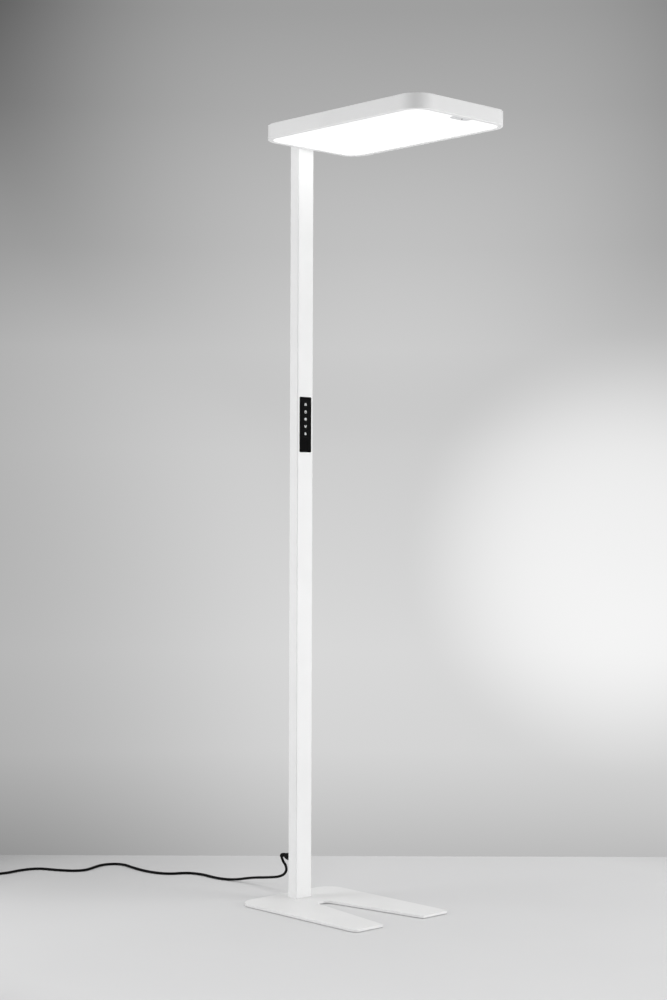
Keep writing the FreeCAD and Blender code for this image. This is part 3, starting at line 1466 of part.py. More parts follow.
GROMMET_BORE = s.cable_hole - s.slide_gap - s.grommet_wall
SUPPLY_X = s.supply_cable_radius + s.cable_clearance - GROMMET_BORE
CONTROL_X = GROMMET_BORE - s.control_cable_radius - s.cable_clearance
CABLE_Y = POLE_INNER_DEPTH / 2 - s.supply_cable_radius - s.cable_wall_gap
CABLE_BEND = CABLE_Y + POLE_INNER_DEPTH / 2 - s.insert_web - s.cable_wall_gap
CABLE_NECK = HEAD_Z + NECK_Z


def make_riser(name, x, start_y, start_z, radius):
    """A cable from a housing low in the pole, up its rear side and through the neck to the driver."""
    driver = DRIVER_REAR - HEAD_CENTRE
    points = [
        at(x, start_y, start_z),
        at(x, start_y, start_z + s.cable_start),
        at(x, CABLE_Y, start_z + s.cable_start + s.cable_shift),
        at(x, CABLE_Y, CABLE_NECK),
        at(x, driver, CABLE_NECK),
    ]
    held_cable(name, points, plain(radius), plain(CABLE_BEND))


def make_supply_cable():
    """Three-core cable from the terminal boot to the driver."""
    start_y = s.pole_depth / 2 + INLET_BACK - s.boot_depth / 2
    make_riser("supply_cable", SUPPLY_X, start_y, s.inlet_height + s.boot_height / 2,
               s.supply_cable_radius)


def make_control_cable():
    """Thin cable from the keypad housing to the driver."""
    start_y = HOUSING_BACK - s.control_cable_radius - s.housing_wall - s.pole_depth / 2
    start_z = s.strip_bottom + STRIP_MIDDLE + HOUSING_HEIGHT / 2
    make_riser("control_cable", CONTROL_X, start_y, start_z, s.control_cable_radius)


def make_sensor_cable():
    """Thin cable from the sensor's board over the chassis and under the tray to the driver."""
    front = s.sensor_depth - LIP_FRONT - HEAD_CENTRE
    start_y = front - 2 * s.sensor_wall - s.sensor_cable_radius
    level = HEAD_Z + CHASSIS_TOP + s.sensor_cable_radius
    points = [
        at(SENSOR_CABLE_X, start_y, HEAD_Z + SENSOR_BOARD_Z + s.sensor_board_thickness),
        at(SENSOR_CABLE_X, start_y, level),
        at(SENSOR_CABLE_X, DRIVER_FRONT - HEAD_CENTRE, level),
    ]
    held_cable("sensor_cable", points, plain(s.sensor_cable_radius))


# Cord set. Its free route is in the pole's frame: x and y from the pole's axis, z from the floor.

CORD_ROUTE = [
    (4.5, 75.0, 99.0),
    (10.0, 79.5, 88.0),
    (20.5, 82.0, 72.0),
    (29.5, 91.0, 54.5),
    (33.5, 115.0, 36.0),
    (38.0, 168.0, 27.0),
    (45.0, 238.0, 14.5),
    (27.0, 291.0, 3.5),
    (8.0, 339.0, 3.5),
    (15.0, 409.0, 3.5),
    (-2.0, 455.0, 3.5),
    (-54.0, 475.0, 3.5),
    (-73.0, 539.0, 3.5),
    (-68.0, 610.0, 3.5),
    (-57.0, 664.0, 3.5),
    (-73.0, 695.0, 3.5),
    (-109.0, 703.0, 3.5),
    (-149.0, 686.0, 3.5),
    (-181.0, 671.0, 3.5),
    (-215.0, 681.0, 3.5),
    (-244.0, 728.0, 3.5),
    (-265.0, 780.0, 3.5),
    (-316.0, 792.0, 3.5),
    (-374.0, 780.0, 3.5),
    (-412.0, 802.0, 3.5),
    (-444.0, 828.0, 3.5),
]


def coil_point(turn):
    """A point of the coil's path: in over one layer, up where it reverses, out over the next."""
    pitch = plain(s.cord_diameter + s.coil_gap)
    layer = plain(s.coil_layer_turns)
    outer = plain(s.coil_mean_diameter) / 2 + pitch * layer / 2
    inner = outer - pitch * layer
    if turn <= layer:
        radius = outer - pitch * turn
        height = 0.0
    elif turn <= layer + 0.5:
        share = (turn - layer) / 0.5
        radius = inner - pitch / (2 * math.pi) * math.sin(math.pi * share)
        height = pitch * share * share * (3 - 2 * share)
    else:
        radius = inner + pitch * (turn - layer - 0.5)
        height = pitch
    angle = -2 * math.pi * turn
    return Vector(radius * math.cos(angle), radius * math.sin(angle), height)


def coil_heading(turn):
    """The direction of the coil's path at a point."""
    step = 1e-4
    return unit(coil_point(turn + step) - coil_point(turn - step))


def coil_parts():
    """The coil's wire with a straight end at each side, moved to start at its own origin."""
    layer = plain(s.coil_layer_turns)
    total = 2 * layer + 0.5
    quarters = round(total * 4)
    knots = [total * i / quarters for i in range(quarters + 1)]
    lead = plain(s.cord_diameter)
    curves = []
    for low, high in zip(knots, knots[1:]):
        leaving = flat_heading(low, total)
        arriving = flat_heading(high, total)
        curves.extend(biarc(coil_point(low), leaving, coil_point(high), arriving))
    start = coil_point(0) - flat_heading(0, total) * lead
    end = coil_point(total) + flat_heading(total, total) * lead
    edges = [Part.LineSegment(start, coil_point(0)).toShape()]
    edges += [curve.toShape() for curve in curves]
    edges.append(Part.LineSegment(coil_point(total), end).toShape())
    wire = Part.Wire(Part.sortEdges(edges)[0])
    return wire, start, flat_heading(0, total), end, flat_heading(total, total)


def flat_heading(turn, total):
    """The coil's heading, level at its two ends."""
    heading = coil_heading(turn)
    if turn in (0, total):
        heading.z = 0
    return unit(heading)


def least_gap(wire, diameter):
    """The smallest distance between the tube's surfaces, on points along its path."""
    points = wire.discretize(Distance=2.0)
    skip = math.ceil(math.pi * diameter / 2.0)
    least = min((points[i].distanceToPoint(points[j]) for i in range(len(points))
                 for j in range(i + skip, len(points))), default=math.inf)
    return least - diameter


def make_cord():
    """The cord from its relief along the floor, its coil, and the tail that rises to the plug."""
    radius = plain(s.cord_diameter) / 2
    points = [Vector(*point) for point in CORD_ROUTE]
    wire = rounded_route(points, "mains_cord")
    cord = tube("mains_cord", wire, radius, points[0], unit(points[1] - points[0]))
    place(cord, 0, POLE_Y, 0)
    entry = points[-1]
    heading = unit(points[-1] - points[-2])
    wire, start, first, end, last = coil_parts()
    print(f"mains_cord_coil: least gap to itself {least_gap(wire, 2 * radius):.2f} mm")
    coil = tube("mains_cord_coil", wire, radius, start, first)
    turn = Rotation(first, heading)
    shift = Vector(entry) - turn.multVec(start)
    coil.Placement = Placement(shift, turn)
    coil_end = shift + turn.multVec(end)
    out = turn.multVec(last)
    print(f"coil: entry {entry}, end {coil_end}, heading {out}")
    bind(coil, "Placement.Base.y", shift.y + POLE_Y)
    rise = Vector(0, 0, plain(s.plug_radius + s.plug_floor_gap) - coil_end.z)
    run = plain(s.plug_tail_run)
    reach = plain(s.plug_tail_rise)
    tail = [
        coil_end,
        coil_end + out * run,
        coil_end + out * reach + rise,
        coil_end + out * (reach + run) + rise,
    ]
    tail_wire = rounded_route(tail, "mains_cord_tail")
    piece = tube("mains_cord_tail", tail_wire, radius, tail[0], out)
    place(piece, 0, POLE_Y, 0)
    return tail[-1], out


def make_cord_connector():
    """Moulded connector: a six-sided nose in the inlet and a grip that narrows to its rear."""
    body = new_body("cord_connector")
    face = s.inlet_flange_thickness
    end = face + s.connector_length
    low = new_sketch(body, "grip_front", "XZ_Plane", -face)
    centred(s.connector_width, s.connector_height, s.connector_corner)(low)
    high = new_sketch(body, "grip_rear", "XZ_Plane", -end)
    centred(s.connector_rear_width, s.connector_rear_height, s.connector_corner)(high)
    grip = body.newObject("PartDesign::AdditiveLoft", "grip")
    grip.Profile = low
    grip.Sections = [high]
    grip.Ruled = True
    gap = 2 * s.nose_gap
    pad_y(body, "nose", face - s.nose_length, face,
          socket_outline(RECESS_WIDTH - gap, RECESS_HEIGHT - gap))
    cut_y(body, "contacts", face - s.nose_length, face, pin_slots(s.nose_gap))
    place(body, 0, REAR_Y, s.inlet_height)


def make_connector_relief():
    """Tapered strain relief that bends with the cord."""
    start = at(0, s.pole_depth / 2 + s.inlet_flange_thickness + s.connector_length, s.inlet_height)
    end = Vector(*CORD_ROUTE[0])
    arriving = unit(Vector(*CORD_ROUTE[1]) - end)
    curves = biarc(start, Vector(0, 1, 0), end, arriving)
    wire = Part.Wire(Part.sortEdges([curve.toShape() for curve in curves])[0])
    thick = Part.Wire([Part.Circle(start, Vector(0, 1, 0), plain(s.relief_start_radius)).toShape()])
    thin = Part.Wire([Part.Circle(end, arriving, plain(s.relief_end_radius)).toShape()])
    shell = Part.BRepOffsetAPI.MakePipeShell(wire)
    shell.add(thick)
    shell.add(thin)
    shell.build()
    shell.makeSolid()
    relief = doc.addObject("Part::Feature", "connector_relief")
    relief.Shape = shell.shape()
    keep("connector_relief", relief)
    print(f"connector_relief: length {wire.Length:.1f} mm")
    place(relief, 0, POLE_Y, 0)


def make_plug(origin, out):
    """Moulded mains plug with its relief behind and two round pins in front."""
    turn = Rotation(Vector(1, 0, 0), out)
    relief_end = s.plug_relief_length
    rear_end = relief_end + s.plug_rear_depth
    neck_end = rear_end + s.plug_neck_depth
    face = neck_end + s.plug_face_depth

    relief = new_body("plug_relief")
    revolve_x(relief, "relief_turn", [
        (0, 0), (0, s.relief_end_radius), (relief_end, s.relief_start_radius), (relief_end, 0)])
    plug = new_body("mains_plug")
    revolve_x(plug, "plug_turn", [
        (relief_end, 0),
        (relief_end, s.plug_neck_radius - 2),
        (rear_end, s.plug_neck_radius),
        (neck_end, s.plug_radius),
        (face, s.plug_radius),
        (face, 0),
    ])

    def draw_earth_cuts(sketch):
        for side in (-1, 1):
            outer = side * (s.plug_radius + 1)
            inner = side * (s.plug_radius - s.plug_side_cut)
            low, high = (outer, inner) if side < 0 else (inner, outer)
            draw_rectangle(sketch, -s.plug_side_width / 2, s.plug_side_width / 2, low, high)
    extrude(plug, "Pocket", "earth_grooves", "YZ_Plane", face, s.plug_face_depth, draw_earth_cuts, False)
    extrude(plug, "Pocket", "earth_hole", "YZ_Plane", face, s.plug_earth_depth,
            spots(s.plug_earth_radius, [(0, -s.plug_earth_offset)]), False)
    pins = []
    for side in (-1, 1):
        pin = rod("plug_pin", s.plug_pin_radius, s.plug_pin_length)
        pin.Placement = Placement(Vector(), Rotation(Vector(0, 1, 0), 90))
        bind(pin, "Placement.Base.x", face)
        bind(pin, "Placement.Base.y", side * s.plug_pin_pitch / 2)
        pins.append(pin)
    group("plug_pins", pins)
    for name in ("plug_relief", "mains_plug", "plug_pins"):
        nodes[name].Placement = Placement(origin, turn)
        bind(nodes[name], "Placement.Base.y", origin.y + POLE_Y)


def revolve_x(body, name, outline):
    """Turns an outline in x and y once round the X axis."""
    sketch = new_sketch(body, f"{name}_sketch", "XY_Plane")
    draw_polygon(sketch, outline)
    feature = body.newObject("PartDesign::Revolution", name)
    feature.Profile = sketch
    feature.ReferenceAxis = (sketch, ["H_Axis"])
    feature.Angle = 360
    return feature


make_base_plate()
make_glide_pads()
make_base_screws()
make_pole_profile()
make_pole_top_cap()
make_pole_top_insert()
make_neck_spacer()
make_head_bracket()
make_bracket_screws()
make_chassis_screws()
make_cable_grommet()
make_head_frame()
make_downlight_diffuser()
make_light_guide()
make_reflector_sheet()
make_chassis_plate()
make_edge_led_strips()
make_support_pillars()
make_top_cover()
make_uplight_window()
make_uplight_tray()
make_uplight_led_boards()
make_led_driver()
make_driver_screws()
make_tray_screws()
make_cover_screws()
make_sensor_housing()
make_sensor_lens()
make_daylight_window()
make_sensor_board()
make_control_bezel()
for key_number, key_level in enumerate(KEY_LEVELS, start=1):
    make_key(key_number, key_level)
    make_plunger(key_number, key_level)
make_key_switches()
make_keypad_board()
make_keypad_housing()
make_inlet_socket()
make_inlet_pins()
make_terminal_boot()
make_supply_cable()
make_control_cable()
make_sensor_cable()
make_cord_connector()
make_connector_relief()
tail_end, tail_heading = make_cord()
make_plug(tail_end, tail_heading)
doc.recompute()

for thing in doc.Objects:
    if "Invalid" in thing.State or "Error" in thing.State:
        raise RuntimeError(f"{thing.Label} failed: {thing.State}")
    if thing.TypeId in ("PartDesign::Pocket", "PartDesign::Chamfer"):
        before = (thing.BaseFeature or thing.Base[0]).Shape.Volume
        if thing.Shape.Volume > before - 0.001:
            raise RuntimeError(f"{thing.Label} of {thing.getParentGeoFeatureGroup().Label} cuts nothing")
for label, thing in nodes.items():
    if thing.Shape.isNull() or not thing.Shape.isValid():
        raise RuntimeError(f"{label} has no valid shape")
for label, thing in nodes.items():
    thing.Shape.exportStep(f"parts/{label}.step")
print(f"{len(nodes)} sub-parts written")
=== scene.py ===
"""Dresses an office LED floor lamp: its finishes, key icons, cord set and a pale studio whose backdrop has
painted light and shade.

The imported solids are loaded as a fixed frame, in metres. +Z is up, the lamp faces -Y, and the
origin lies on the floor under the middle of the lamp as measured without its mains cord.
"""
from __future__ import annotations

import json
import logging
import math
from collections.abc import Iterable, Mapping, Sequence
from dataclasses import dataclass, replace
from enum import Enum

import bmesh
import bpy
from mathutils import Matrix, Vector

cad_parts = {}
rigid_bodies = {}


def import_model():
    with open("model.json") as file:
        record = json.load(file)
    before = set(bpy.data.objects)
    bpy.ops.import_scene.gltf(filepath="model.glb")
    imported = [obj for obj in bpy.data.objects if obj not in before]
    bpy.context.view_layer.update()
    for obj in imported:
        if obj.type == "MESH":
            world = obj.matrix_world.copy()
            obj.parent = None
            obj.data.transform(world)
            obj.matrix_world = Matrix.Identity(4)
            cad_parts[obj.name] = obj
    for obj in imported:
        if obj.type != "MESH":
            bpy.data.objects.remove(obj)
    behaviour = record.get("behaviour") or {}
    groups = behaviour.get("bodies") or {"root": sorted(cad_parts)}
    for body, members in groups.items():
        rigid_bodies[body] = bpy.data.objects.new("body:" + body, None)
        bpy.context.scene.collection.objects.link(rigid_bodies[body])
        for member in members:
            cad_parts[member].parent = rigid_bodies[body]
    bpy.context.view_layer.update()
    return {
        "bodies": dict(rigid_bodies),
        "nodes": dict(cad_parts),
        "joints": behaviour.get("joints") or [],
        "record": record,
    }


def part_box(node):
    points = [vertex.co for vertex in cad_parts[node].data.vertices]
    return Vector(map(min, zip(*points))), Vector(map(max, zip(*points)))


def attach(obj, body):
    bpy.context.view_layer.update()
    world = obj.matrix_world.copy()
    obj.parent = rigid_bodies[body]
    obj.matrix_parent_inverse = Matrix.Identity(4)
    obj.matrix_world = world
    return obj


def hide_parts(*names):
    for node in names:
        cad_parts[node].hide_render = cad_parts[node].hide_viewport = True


log = logging.getLogger("floor_lamp")

Span = tuple[float, float]
Size3 = tuple[float, float, float]
Colour = tuple[float, float, float]
Loop = list[tuple[float, float]]
Form = bmesh.types.BMesh
Piece = bpy.types.Object
Socket = bpy.types.NodeSocket

MM = 0.001
BODY = "lamp"
BLACK: Colour = (0.0, 0.0, 0.0)
UP = Vector((0.0, 0.0, 1.0))
DOWN = Vector((0.0, 0.0, -1.0))
UNIT: Span = (0.0, 1.0)
MIDDLE: Span = (0.3, 0.7)
CLOUDY: Span = (0.35, 0.65)
EDGE_TURN: Span = (0.995, 0.80)


class Texture(Enum):
    """How a pattern is drawn: Blender's node, the output that is used and the input for its variety."""

    NOISE = ("ShaderNodeTexNoise", "Fac", "Detail")
    CELLS = ("ShaderNodeTexVoronoi", "Distance", "Randomness")
    WAVES = ("ShaderNodeTexWave", "Fac", "Distortion")


class Grain(Enum):
    """The way that drawn or rolled metal shows its lines."""

    ALONG_Y = (60.0, 1.0, 60.0)
    ALONG_Z = (60.0, 60.0, 1.0)


@dataclass(frozen=True)
class Pattern:
    """A pattern in the object's own space, with values from 0 to 1.

    Its scale is how many blotches or cells there are in a metre. Its variety is how many finer octaves
    noise has, how freely cells lie or how far waves bend. A band is stretched to the whole range.
    """

    scale: float
    variety: float = 2.0
    band: Span | None = None
    texture: Texture = Texture.NOISE
    stretch: Size3 | None = None


class Graph:
    """The node tree of a material or world, with short calls for the nodes that they share."""

    def __init__(self, owner: bpy.types.Material | bpy.types.World, space: str = "Object") -> None:
        """Opens the owner's node tree.

        Args:
            owner: The material or world.
            space: The texture coordinates that its patterns are laid in.
        """
        owner.use_nodes = True
        self.owner = owner
        self.tree = owner.node_tree
        self.place = self.add("ShaderNodeTexCoord").outputs[space]
        self.laid: dict[Pattern, Socket] = {}

    @property
    def shader(self) -> bpy.types.ShaderNode:
        """A material's main shader."""
        return self.tree.nodes["Principled BSDF"]

    def feed(self, target: Socket, value: object) -> None:
        """Gives an input its value.

        Args:
            target: The input.
            value: An output to link, or a number, vector or colour to set.
        """
        if isinstance(value, Socket):
            self.tree.links.new(value, target)
        elif target.type == "RGBA":
            target.default_value = (*value, 1.0)
        else:
            target.default_value = value

    def add(self, kind: str, inputs: Mapping[int | str, object] | None = None,
            **settings: object) -> bpy.types.ShaderNode:
        """Adds a node.

        Args:
            kind: Blender's name of the node's type.
            inputs: What its inputs get, by their names or numbers.
            settings: The node's own settings.

        Returns:
            The new node.
        """
        node = self.tree.nodes.new(kind)
        for name, setting in settings.items():
            setattr(node, name, setting)
        for key, value in (inputs or {}).items():
            self.feed(node.inputs[key], value)
        return node

    def surface(self, looks: Mapping[str, object]) -> None:
        """Feeds the main shader's inputs, by their names."""
        for name, value in looks.items():
            self.feed(self.shader.inputs[name], value)

    def pattern(self, pattern: Pattern) -> Socket:
        """Lays a pattern, once however often it is used.

        Args:
            pattern: The pattern.

        Returns:
            Its value.
        """
        if pattern not in self.laid:
            place = self.place
            if pattern.stretch:
                mapping = self.add("ShaderNodeMapping", {"Scale": pattern.stretch, "Vector": place})
                place = mapping.outputs["Vector"]
            kind, output, variety = pattern.texture.value
            node = self.add(kind, {"Scale": pattern.scale, variety: pattern.variety, "Vector": place})
            value = node.outputs[output]
            self.laid[pattern] = self.ranged(value, pattern.band) if pattern.band else value
        return self.laid[pattern]

    def axis(self, letter: str) -> Socket:
        """One coordinate of the object's own space: X, Y or Z."""
        return self.add("ShaderNodeSeparateXYZ", {"Vector": self.place}).outputs[letter]

    def maths(self, operation: str, first: object, second: object = 0.0) -> Socket:
        """The result of an operation on one or two values."""
        return self.add("ShaderNodeMath", {0: first, 1: second}, operation=operation).outputs["Value"]

    def measure(self, operation: str, first: object, second: object = (0.0, 0.0, 0.0)) -> Socket:
        """The number that an operation on one or two vectors gives."""
        return self.add("ShaderNodeVectorMath", {0: first, 1: second}, operation=operation).outputs["Value"]

    def ranged(self, value: Socket, band: Span, result: Span = UNIT, smooth: bool = False) -> Socket:
        """Maps a value from one range to another, held at its ends.

        Args:
            value: The value to map.
            band: Where the range begins and ends.
            result: What it gives there.
            smooth: Whether it eases in and out.

        Returns:
            The mapped value.
        """
        names = ("Value", "From Min", "From Max", "To Min", "To Max")
        inputs = dict(zip(names, (value, *band, *result)))
        kind = "SMOOTHSTEP" if smooth else "LINEAR"
        return self.add("ShaderNodeMapRange", inputs, interpolation_type=kind).outputs["Result"]

    def blend(self, share: Socket, first: object, second: object) -> Socket:
        """Mixes two colours, of which the second shows fully where the share is 1."""
        return self.add("ShaderNodeMix", {0: share, 6: first, 7: second}, data_type="RGBA").outputs[2]

    def rounded(self, radius: float) -> Socket:
        """Normals that round the edges off by a radius."""
        return self.add("ShaderNodeBevel", {"Radius": radius}, samples=4).outputs["Normal"]

    def edges(self, radius: float) -> Socket:
        """A mask that is 1 on edges as wide as the radius and 0 on flat faces."""
        flat = self.add("ShaderNodeNewGeometry").outputs["Normal"]
        return self.ranged(self.measure("DOT_PRODUCT", self.rounded(radius), flat), EDGE_TURN)

    def bump(self, height: Socket, distance: float, rounding: float = 0.0) -> Socket:
        """Turns heights into normals.

        Args:
            height: The height from 0 to 1.
            distance: The height in metres that 1 stands for.
            rounding: The radius that the edges below it are rounded off by.

        Returns:
            The bumped normal.
        """
        inputs = {"Distance": distance, "Height": height}
        if rounding:
            inputs["Normal"] = self.rounded(rounding)
        return self.add("ShaderNodeBump", inputs).outputs["Normal"]

    def seen(self) -> Socket:
        """Tells rays that show the background: from the camera, off gloss and through glass.

        Returns:
            1 for such a ray and 0 for any other.
        """
        path = self.add("ShaderNodeLightPath").outputs
        both = self.maths("ADD", path["Is Camera Ray"], path["Is Glossy Ray"])
        return self.maths("MINIMUM", self.maths("ADD", both, path["Is Transmission Ray"]), 1.0)


@dataclass(frozen=True)
class Finish:
    """One finish of the lamp, made into a material once.

    A stain varies its colour between two shades, and chips show on its edges, which are worn to a factor
    of the second shade. A smear varies its roughness by two amounts. Its skin is a fine height, laid on
    edges that shading rounds off.
    """

    name: str
    colour: Colour
    specular: float = 0.5
    roughness: float = 0.5
    more: tuple[tuple[str, float], ...] = ()
    glow: float = 0.0
    stain: Pattern | None = None
    shades: Span = (1.0, 1.0)
    chips: Pattern | None = None
    chip_width: float = 0.0
    worn: float = 1.0
    smear: Pattern | None = None
    smeared: Span = (0.0, 0.0)
    skin: Pattern | None = None
    skin_height: float = 0.0
    rounding: float = 0.0

    def material(self) -> bpy.types.Material:
        """The finish's material, made on first use.

        Returns:
            The material.
        """
        if self not in MADE:
            graph = Graph(bpy.data.materials.new(self.name))
            graph.surface(self.looks(graph))
            MADE[self] = graph.owner
        return MADE[self]

    def looks(self, graph: Graph) -> dict[str, object]:
        """Lays the finish's patterns.

        Args:
            graph: The material's node tree.

        Returns:
            What the main shader's inputs get.
        """
        looks = {"Base Color": self.colour, "Specular IOR Level": self.specular,
                 "Roughness": self.roughness, **dict(self.more)}
        if self.glow:
            looks |= {"Emission Color": self.colour, "Emission Strength": self.glow}
        if self.stain:
            looks["Base Color"] = self.mottled(graph, graph.pattern(self.stain), self.shades)
        if self.chips:
            edge = graph.maths("MULTIPLY", graph.edges(self.chip_width), graph.pattern(self.chips))
            chipped = self.shade(self.shades[1] * self.worn)
            looks["Base Color"] = graph.blend(edge, looks["Base Color"], chipped)
        if self.smear:
            looks["Roughness"] = self.uneven(graph, graph.pattern(self.smear), UNIT)
        if self.skin:
            looks["Normal"] = graph.bump(graph.pattern(self.skin), self.skin_height, self.rounding)
        return looks

    def shade(self, factor: float) -> Colour:
        """The finish's colour with each channel multiplied by a factor."""
        red, green, blue = self.colour
        return (red * factor, green * factor, blue * factor)

    def mottled(self, graph: Graph, value: Socket, factors: Span) -> Socket:
        """The finish's colour, which a value varies between two shades of it."""
        return graph.blend(value, self.shade(factors[0]), self.shade(factors[1]))

    def uneven(self, graph: Graph, value: Socket, band: Span) -> Socket:
        """The finish's roughness, which a band of a value varies by the smeared amounts."""
        low, high = self.smeared
        return graph.ranged(value, band, (self.roughness + low, self.roughness + high))


MADE: dict[Finish, bpy.types.Material] = {}


@dataclass(frozen=True)
class PowderCoat(Finish):
    """Sprayed and baked paint: an even colour over a fine orange-peel skin."""

    specular: float = 0.4
    stain: Pattern = Pattern(7.0, 3.0, CLOUDY)
    shades: Span = (0.985, 1.012)
    chips: Pattern = Pattern(220.0, 3.0)
    chip_width: float = 0.9 * MM
    worn: float = 0.9585
    smear: Pattern = Pattern(26.0, 4.0, MIDDLE)
    smeared: Span = (-0.03, 0.06)
    skin: Pattern = Pattern(1500.0, 1.5)
    skin_height: float = 0.035 * MM
    rounding: float = 0.5 * MM


@dataclass(frozen=True)
class Moulded(Finish):
    """Moulded plastic or rubber with a spark-eroded grain, rubbed paler where it is handled."""

    stain: Pattern = Pattern(55.0, 4.0, (0.42, 0.66))
    shades: Span = (1.0, 1.08)
    chips: Pattern = Pattern(400.0)
    chip_width: float = 0.6 * MM
    worn: float = 1.12
    smear: Pattern = Pattern(90.0, 3.0, MIDDLE)
    smeared: Span = (-0.06, 0.08)
    skin: Pattern = Pattern(2600.0, 1.0, texture=Texture.CELLS)
    skin_height: float = 0.03 * MM
    rounding: float = 0.4 * MM


@dataclass(frozen=True)
class SatinPanel(Finish):
    """Smooth panel that keeps faint finger marks.

    The zone, where it is given, is a half width, a lowest and a highest level, and a little paler.
    """

    stain: Pattern = Pattern(120.0, 5.0, (0.48, 0.7))
    shades: Span = (1.0, 1.5)
    smear: Pattern = Pattern(120.0, 5.0, (0.48, 0.7))
    smeared: Span = (0.0, 0.16)
    skin: Pattern = Pattern(3000.0, 1.0)
    skin_height: float = 0.008 * MM
    rounding: float = 0.4 * MM
    zone: Size3 | None = None
    zone_shade: float = 2.0

    def looks(self, graph: Graph) -> dict[str, object]:
        """Lays the finish's patterns and its zone.

        Args:
            graph: The material's node tree.

        Returns:
            What the main shader's inputs get.
        """
        looks = super().looks(graph)
        if self.zone is not None:
            half_width, low, high = self.zone
            within = graph.maths("LESS_THAN", graph.maths("ABSOLUTE", graph.axis("X")), half_width)
            for operation, level in (("GREATER_THAN", low), ("LESS_THAN", high)):
                within = graph.maths("MULTIPLY", within, graph.maths(operation, graph.axis("Z"), level))
            looks["Base Color"] = graph.blend(within, looks["Base Color"], self.shade(self.zone_shade))
        return looks


@dataclass(frozen=True)
class OpalSheet(Finish):
    """Opal diffuser that glows evenly, with a slightly dimmer rim and fine prisms in its face."""

    glow: float = 0.95
    skin: Pattern = Pattern(900.0, 0.0, texture=Texture.CELLS)
    skin_height: float = 0.1 * MM
    returned: float = 0.25
    rim_band: Span = (0.9, 1.0)
    rim_shades: Span = (1.0, 0.97)
    half_width: float = 0.15
    half_length: float = 0.26
    middle_y: float = 0.0

    def looks(self, graph: Graph) -> dict[str, object]:
        """Lays the sheet's prisms and its rim.

        Args:
            graph: The material's node tree.

        Returns:
            What the main shader's inputs get.
        """
        across = graph.maths("DIVIDE", graph.axis("X"), self.half_width)
        centred = graph.maths("SUBTRACT", graph.axis("Y"), self.middle_y)
        along = graph.maths("DIVIDE", centred, self.half_length)
        reach = graph.maths("MAXIMUM", graph.maths("ABSOLUTE", across), graph.maths("ABSOLUTE", along))
        rim = graph.ranged(reach, self.rim_band)
        return super().looks(graph) | {"Base Color": self.shade(self.returned),
                                       "Emission Color": self.mottled(graph, rim, self.rim_shades)}


@dataclass(frozen=True)
class Acrylic(Finish):
    """Clear or frosted acrylic sheet with a grid of fine dots."""

    roughness: float = 0.02
    more: tuple[tuple[str, float], ...] = (("Transmission Weight", 1.0), ("IOR", 1.49))
    smear: Pattern = Pattern(40.0, 3.0, MIDDLE)
    smeared: Span = (0.0, 0.05)
    skin: Pattern = Pattern(400.0, 0.0, texture=Texture.CELLS)
    skin_height: float = 0.04 * MM


@dataclass(frozen=True)
class Metal(Finish):
    """Bare or plated metal with drawn lines and a cloudy tarnish."""

    more: tuple[tuple[str, float], ...] = (("Metallic", 1.0),)
    stain: Pattern = Pattern(80.0, 4.0, CLOUDY)
    shades: Span = (0.9, 1.06)
    smeared: Span = (-0.08, 0.1)
    grain: Grain = Grain.ALONG_Z
    lines: float = 30.0
    line_height: float = 0.02 * MM
    rounding: float = 0.3 * MM

    def looks(self, graph: Graph) -> dict[str, object]:
        """Lays the metal's tarnish and its lines.

        Args:
            graph: The material's node tree.

        Returns:
            What the main shader's inputs get.
        """
        drawn = graph.pattern(Pattern(self.lines, 3.0, stretch=self.grain.value))
        return super().looks(graph) | {"Roughness": self.uneven(graph, drawn, MIDDLE),
                                       "Normal": graph.bump(drawn, self.line_height, self.rounding)}


@dataclass(frozen=True)
class Board(Finish):
    """Circuit board with copper tracks under its lacquer, and lit LEDs where it has them."""

    roughness: float = 0.32
    stain: Pattern = Pattern(160.0, 4.0, (0.45, 0.55), Texture.WAVES)
    shades: Span = (0.82, 1.0)
    skin: Pattern = Pattern(160.0, 4.0, (0.45, 0.55), Texture.WAVES)
    skin_height: float = 0.04 * MM
    led_axis: str = ""
    led_level: float = 0.0
    led_inward: bool = False
    led_colour: Colour = (1.0, 0.86, 0.5)
    glow_colour: Colour = (1.0, 0.95, 0.88)

    def looks(self, graph: Graph) -> dict[str, object]:
        """Lays the board's tracks and its LEDs.

        Args:
            graph: The material's node tree.

        Returns:
            What the main shader's inputs get.
        """
        looks = super().looks(graph)
        if self.led_axis:
            side = "LESS_THAN" if self.led_inward else "GREATER_THAN"
            is_led = graph.maths(side, graph.maths("ABSOLUTE", graph.axis(self.led_axis)), self.led_level)
            looks["Base Color"] = graph.blend(is_led, looks["Base Color"], self.led_colour)
            looks["Emission Color"] = graph.blend(is_led, BLACK, self.glow_colour)
        return looks


@dataclass(frozen=True)
class Sheath(Finish):
    """Extruded vinyl sheath of a cord, with a soft gloss and a little floor dust."""

    stain: Pattern = Pattern(320.0, 5.0, (0.55, 0.78))
    smear: Pattern = Pattern(320.0, 5.0, (0.55, 0.78))
    smeared: Span = (0.0, 0.25)
    skin: Pattern = Pattern(700.0)
    skin_height: float = 0.05 * MM


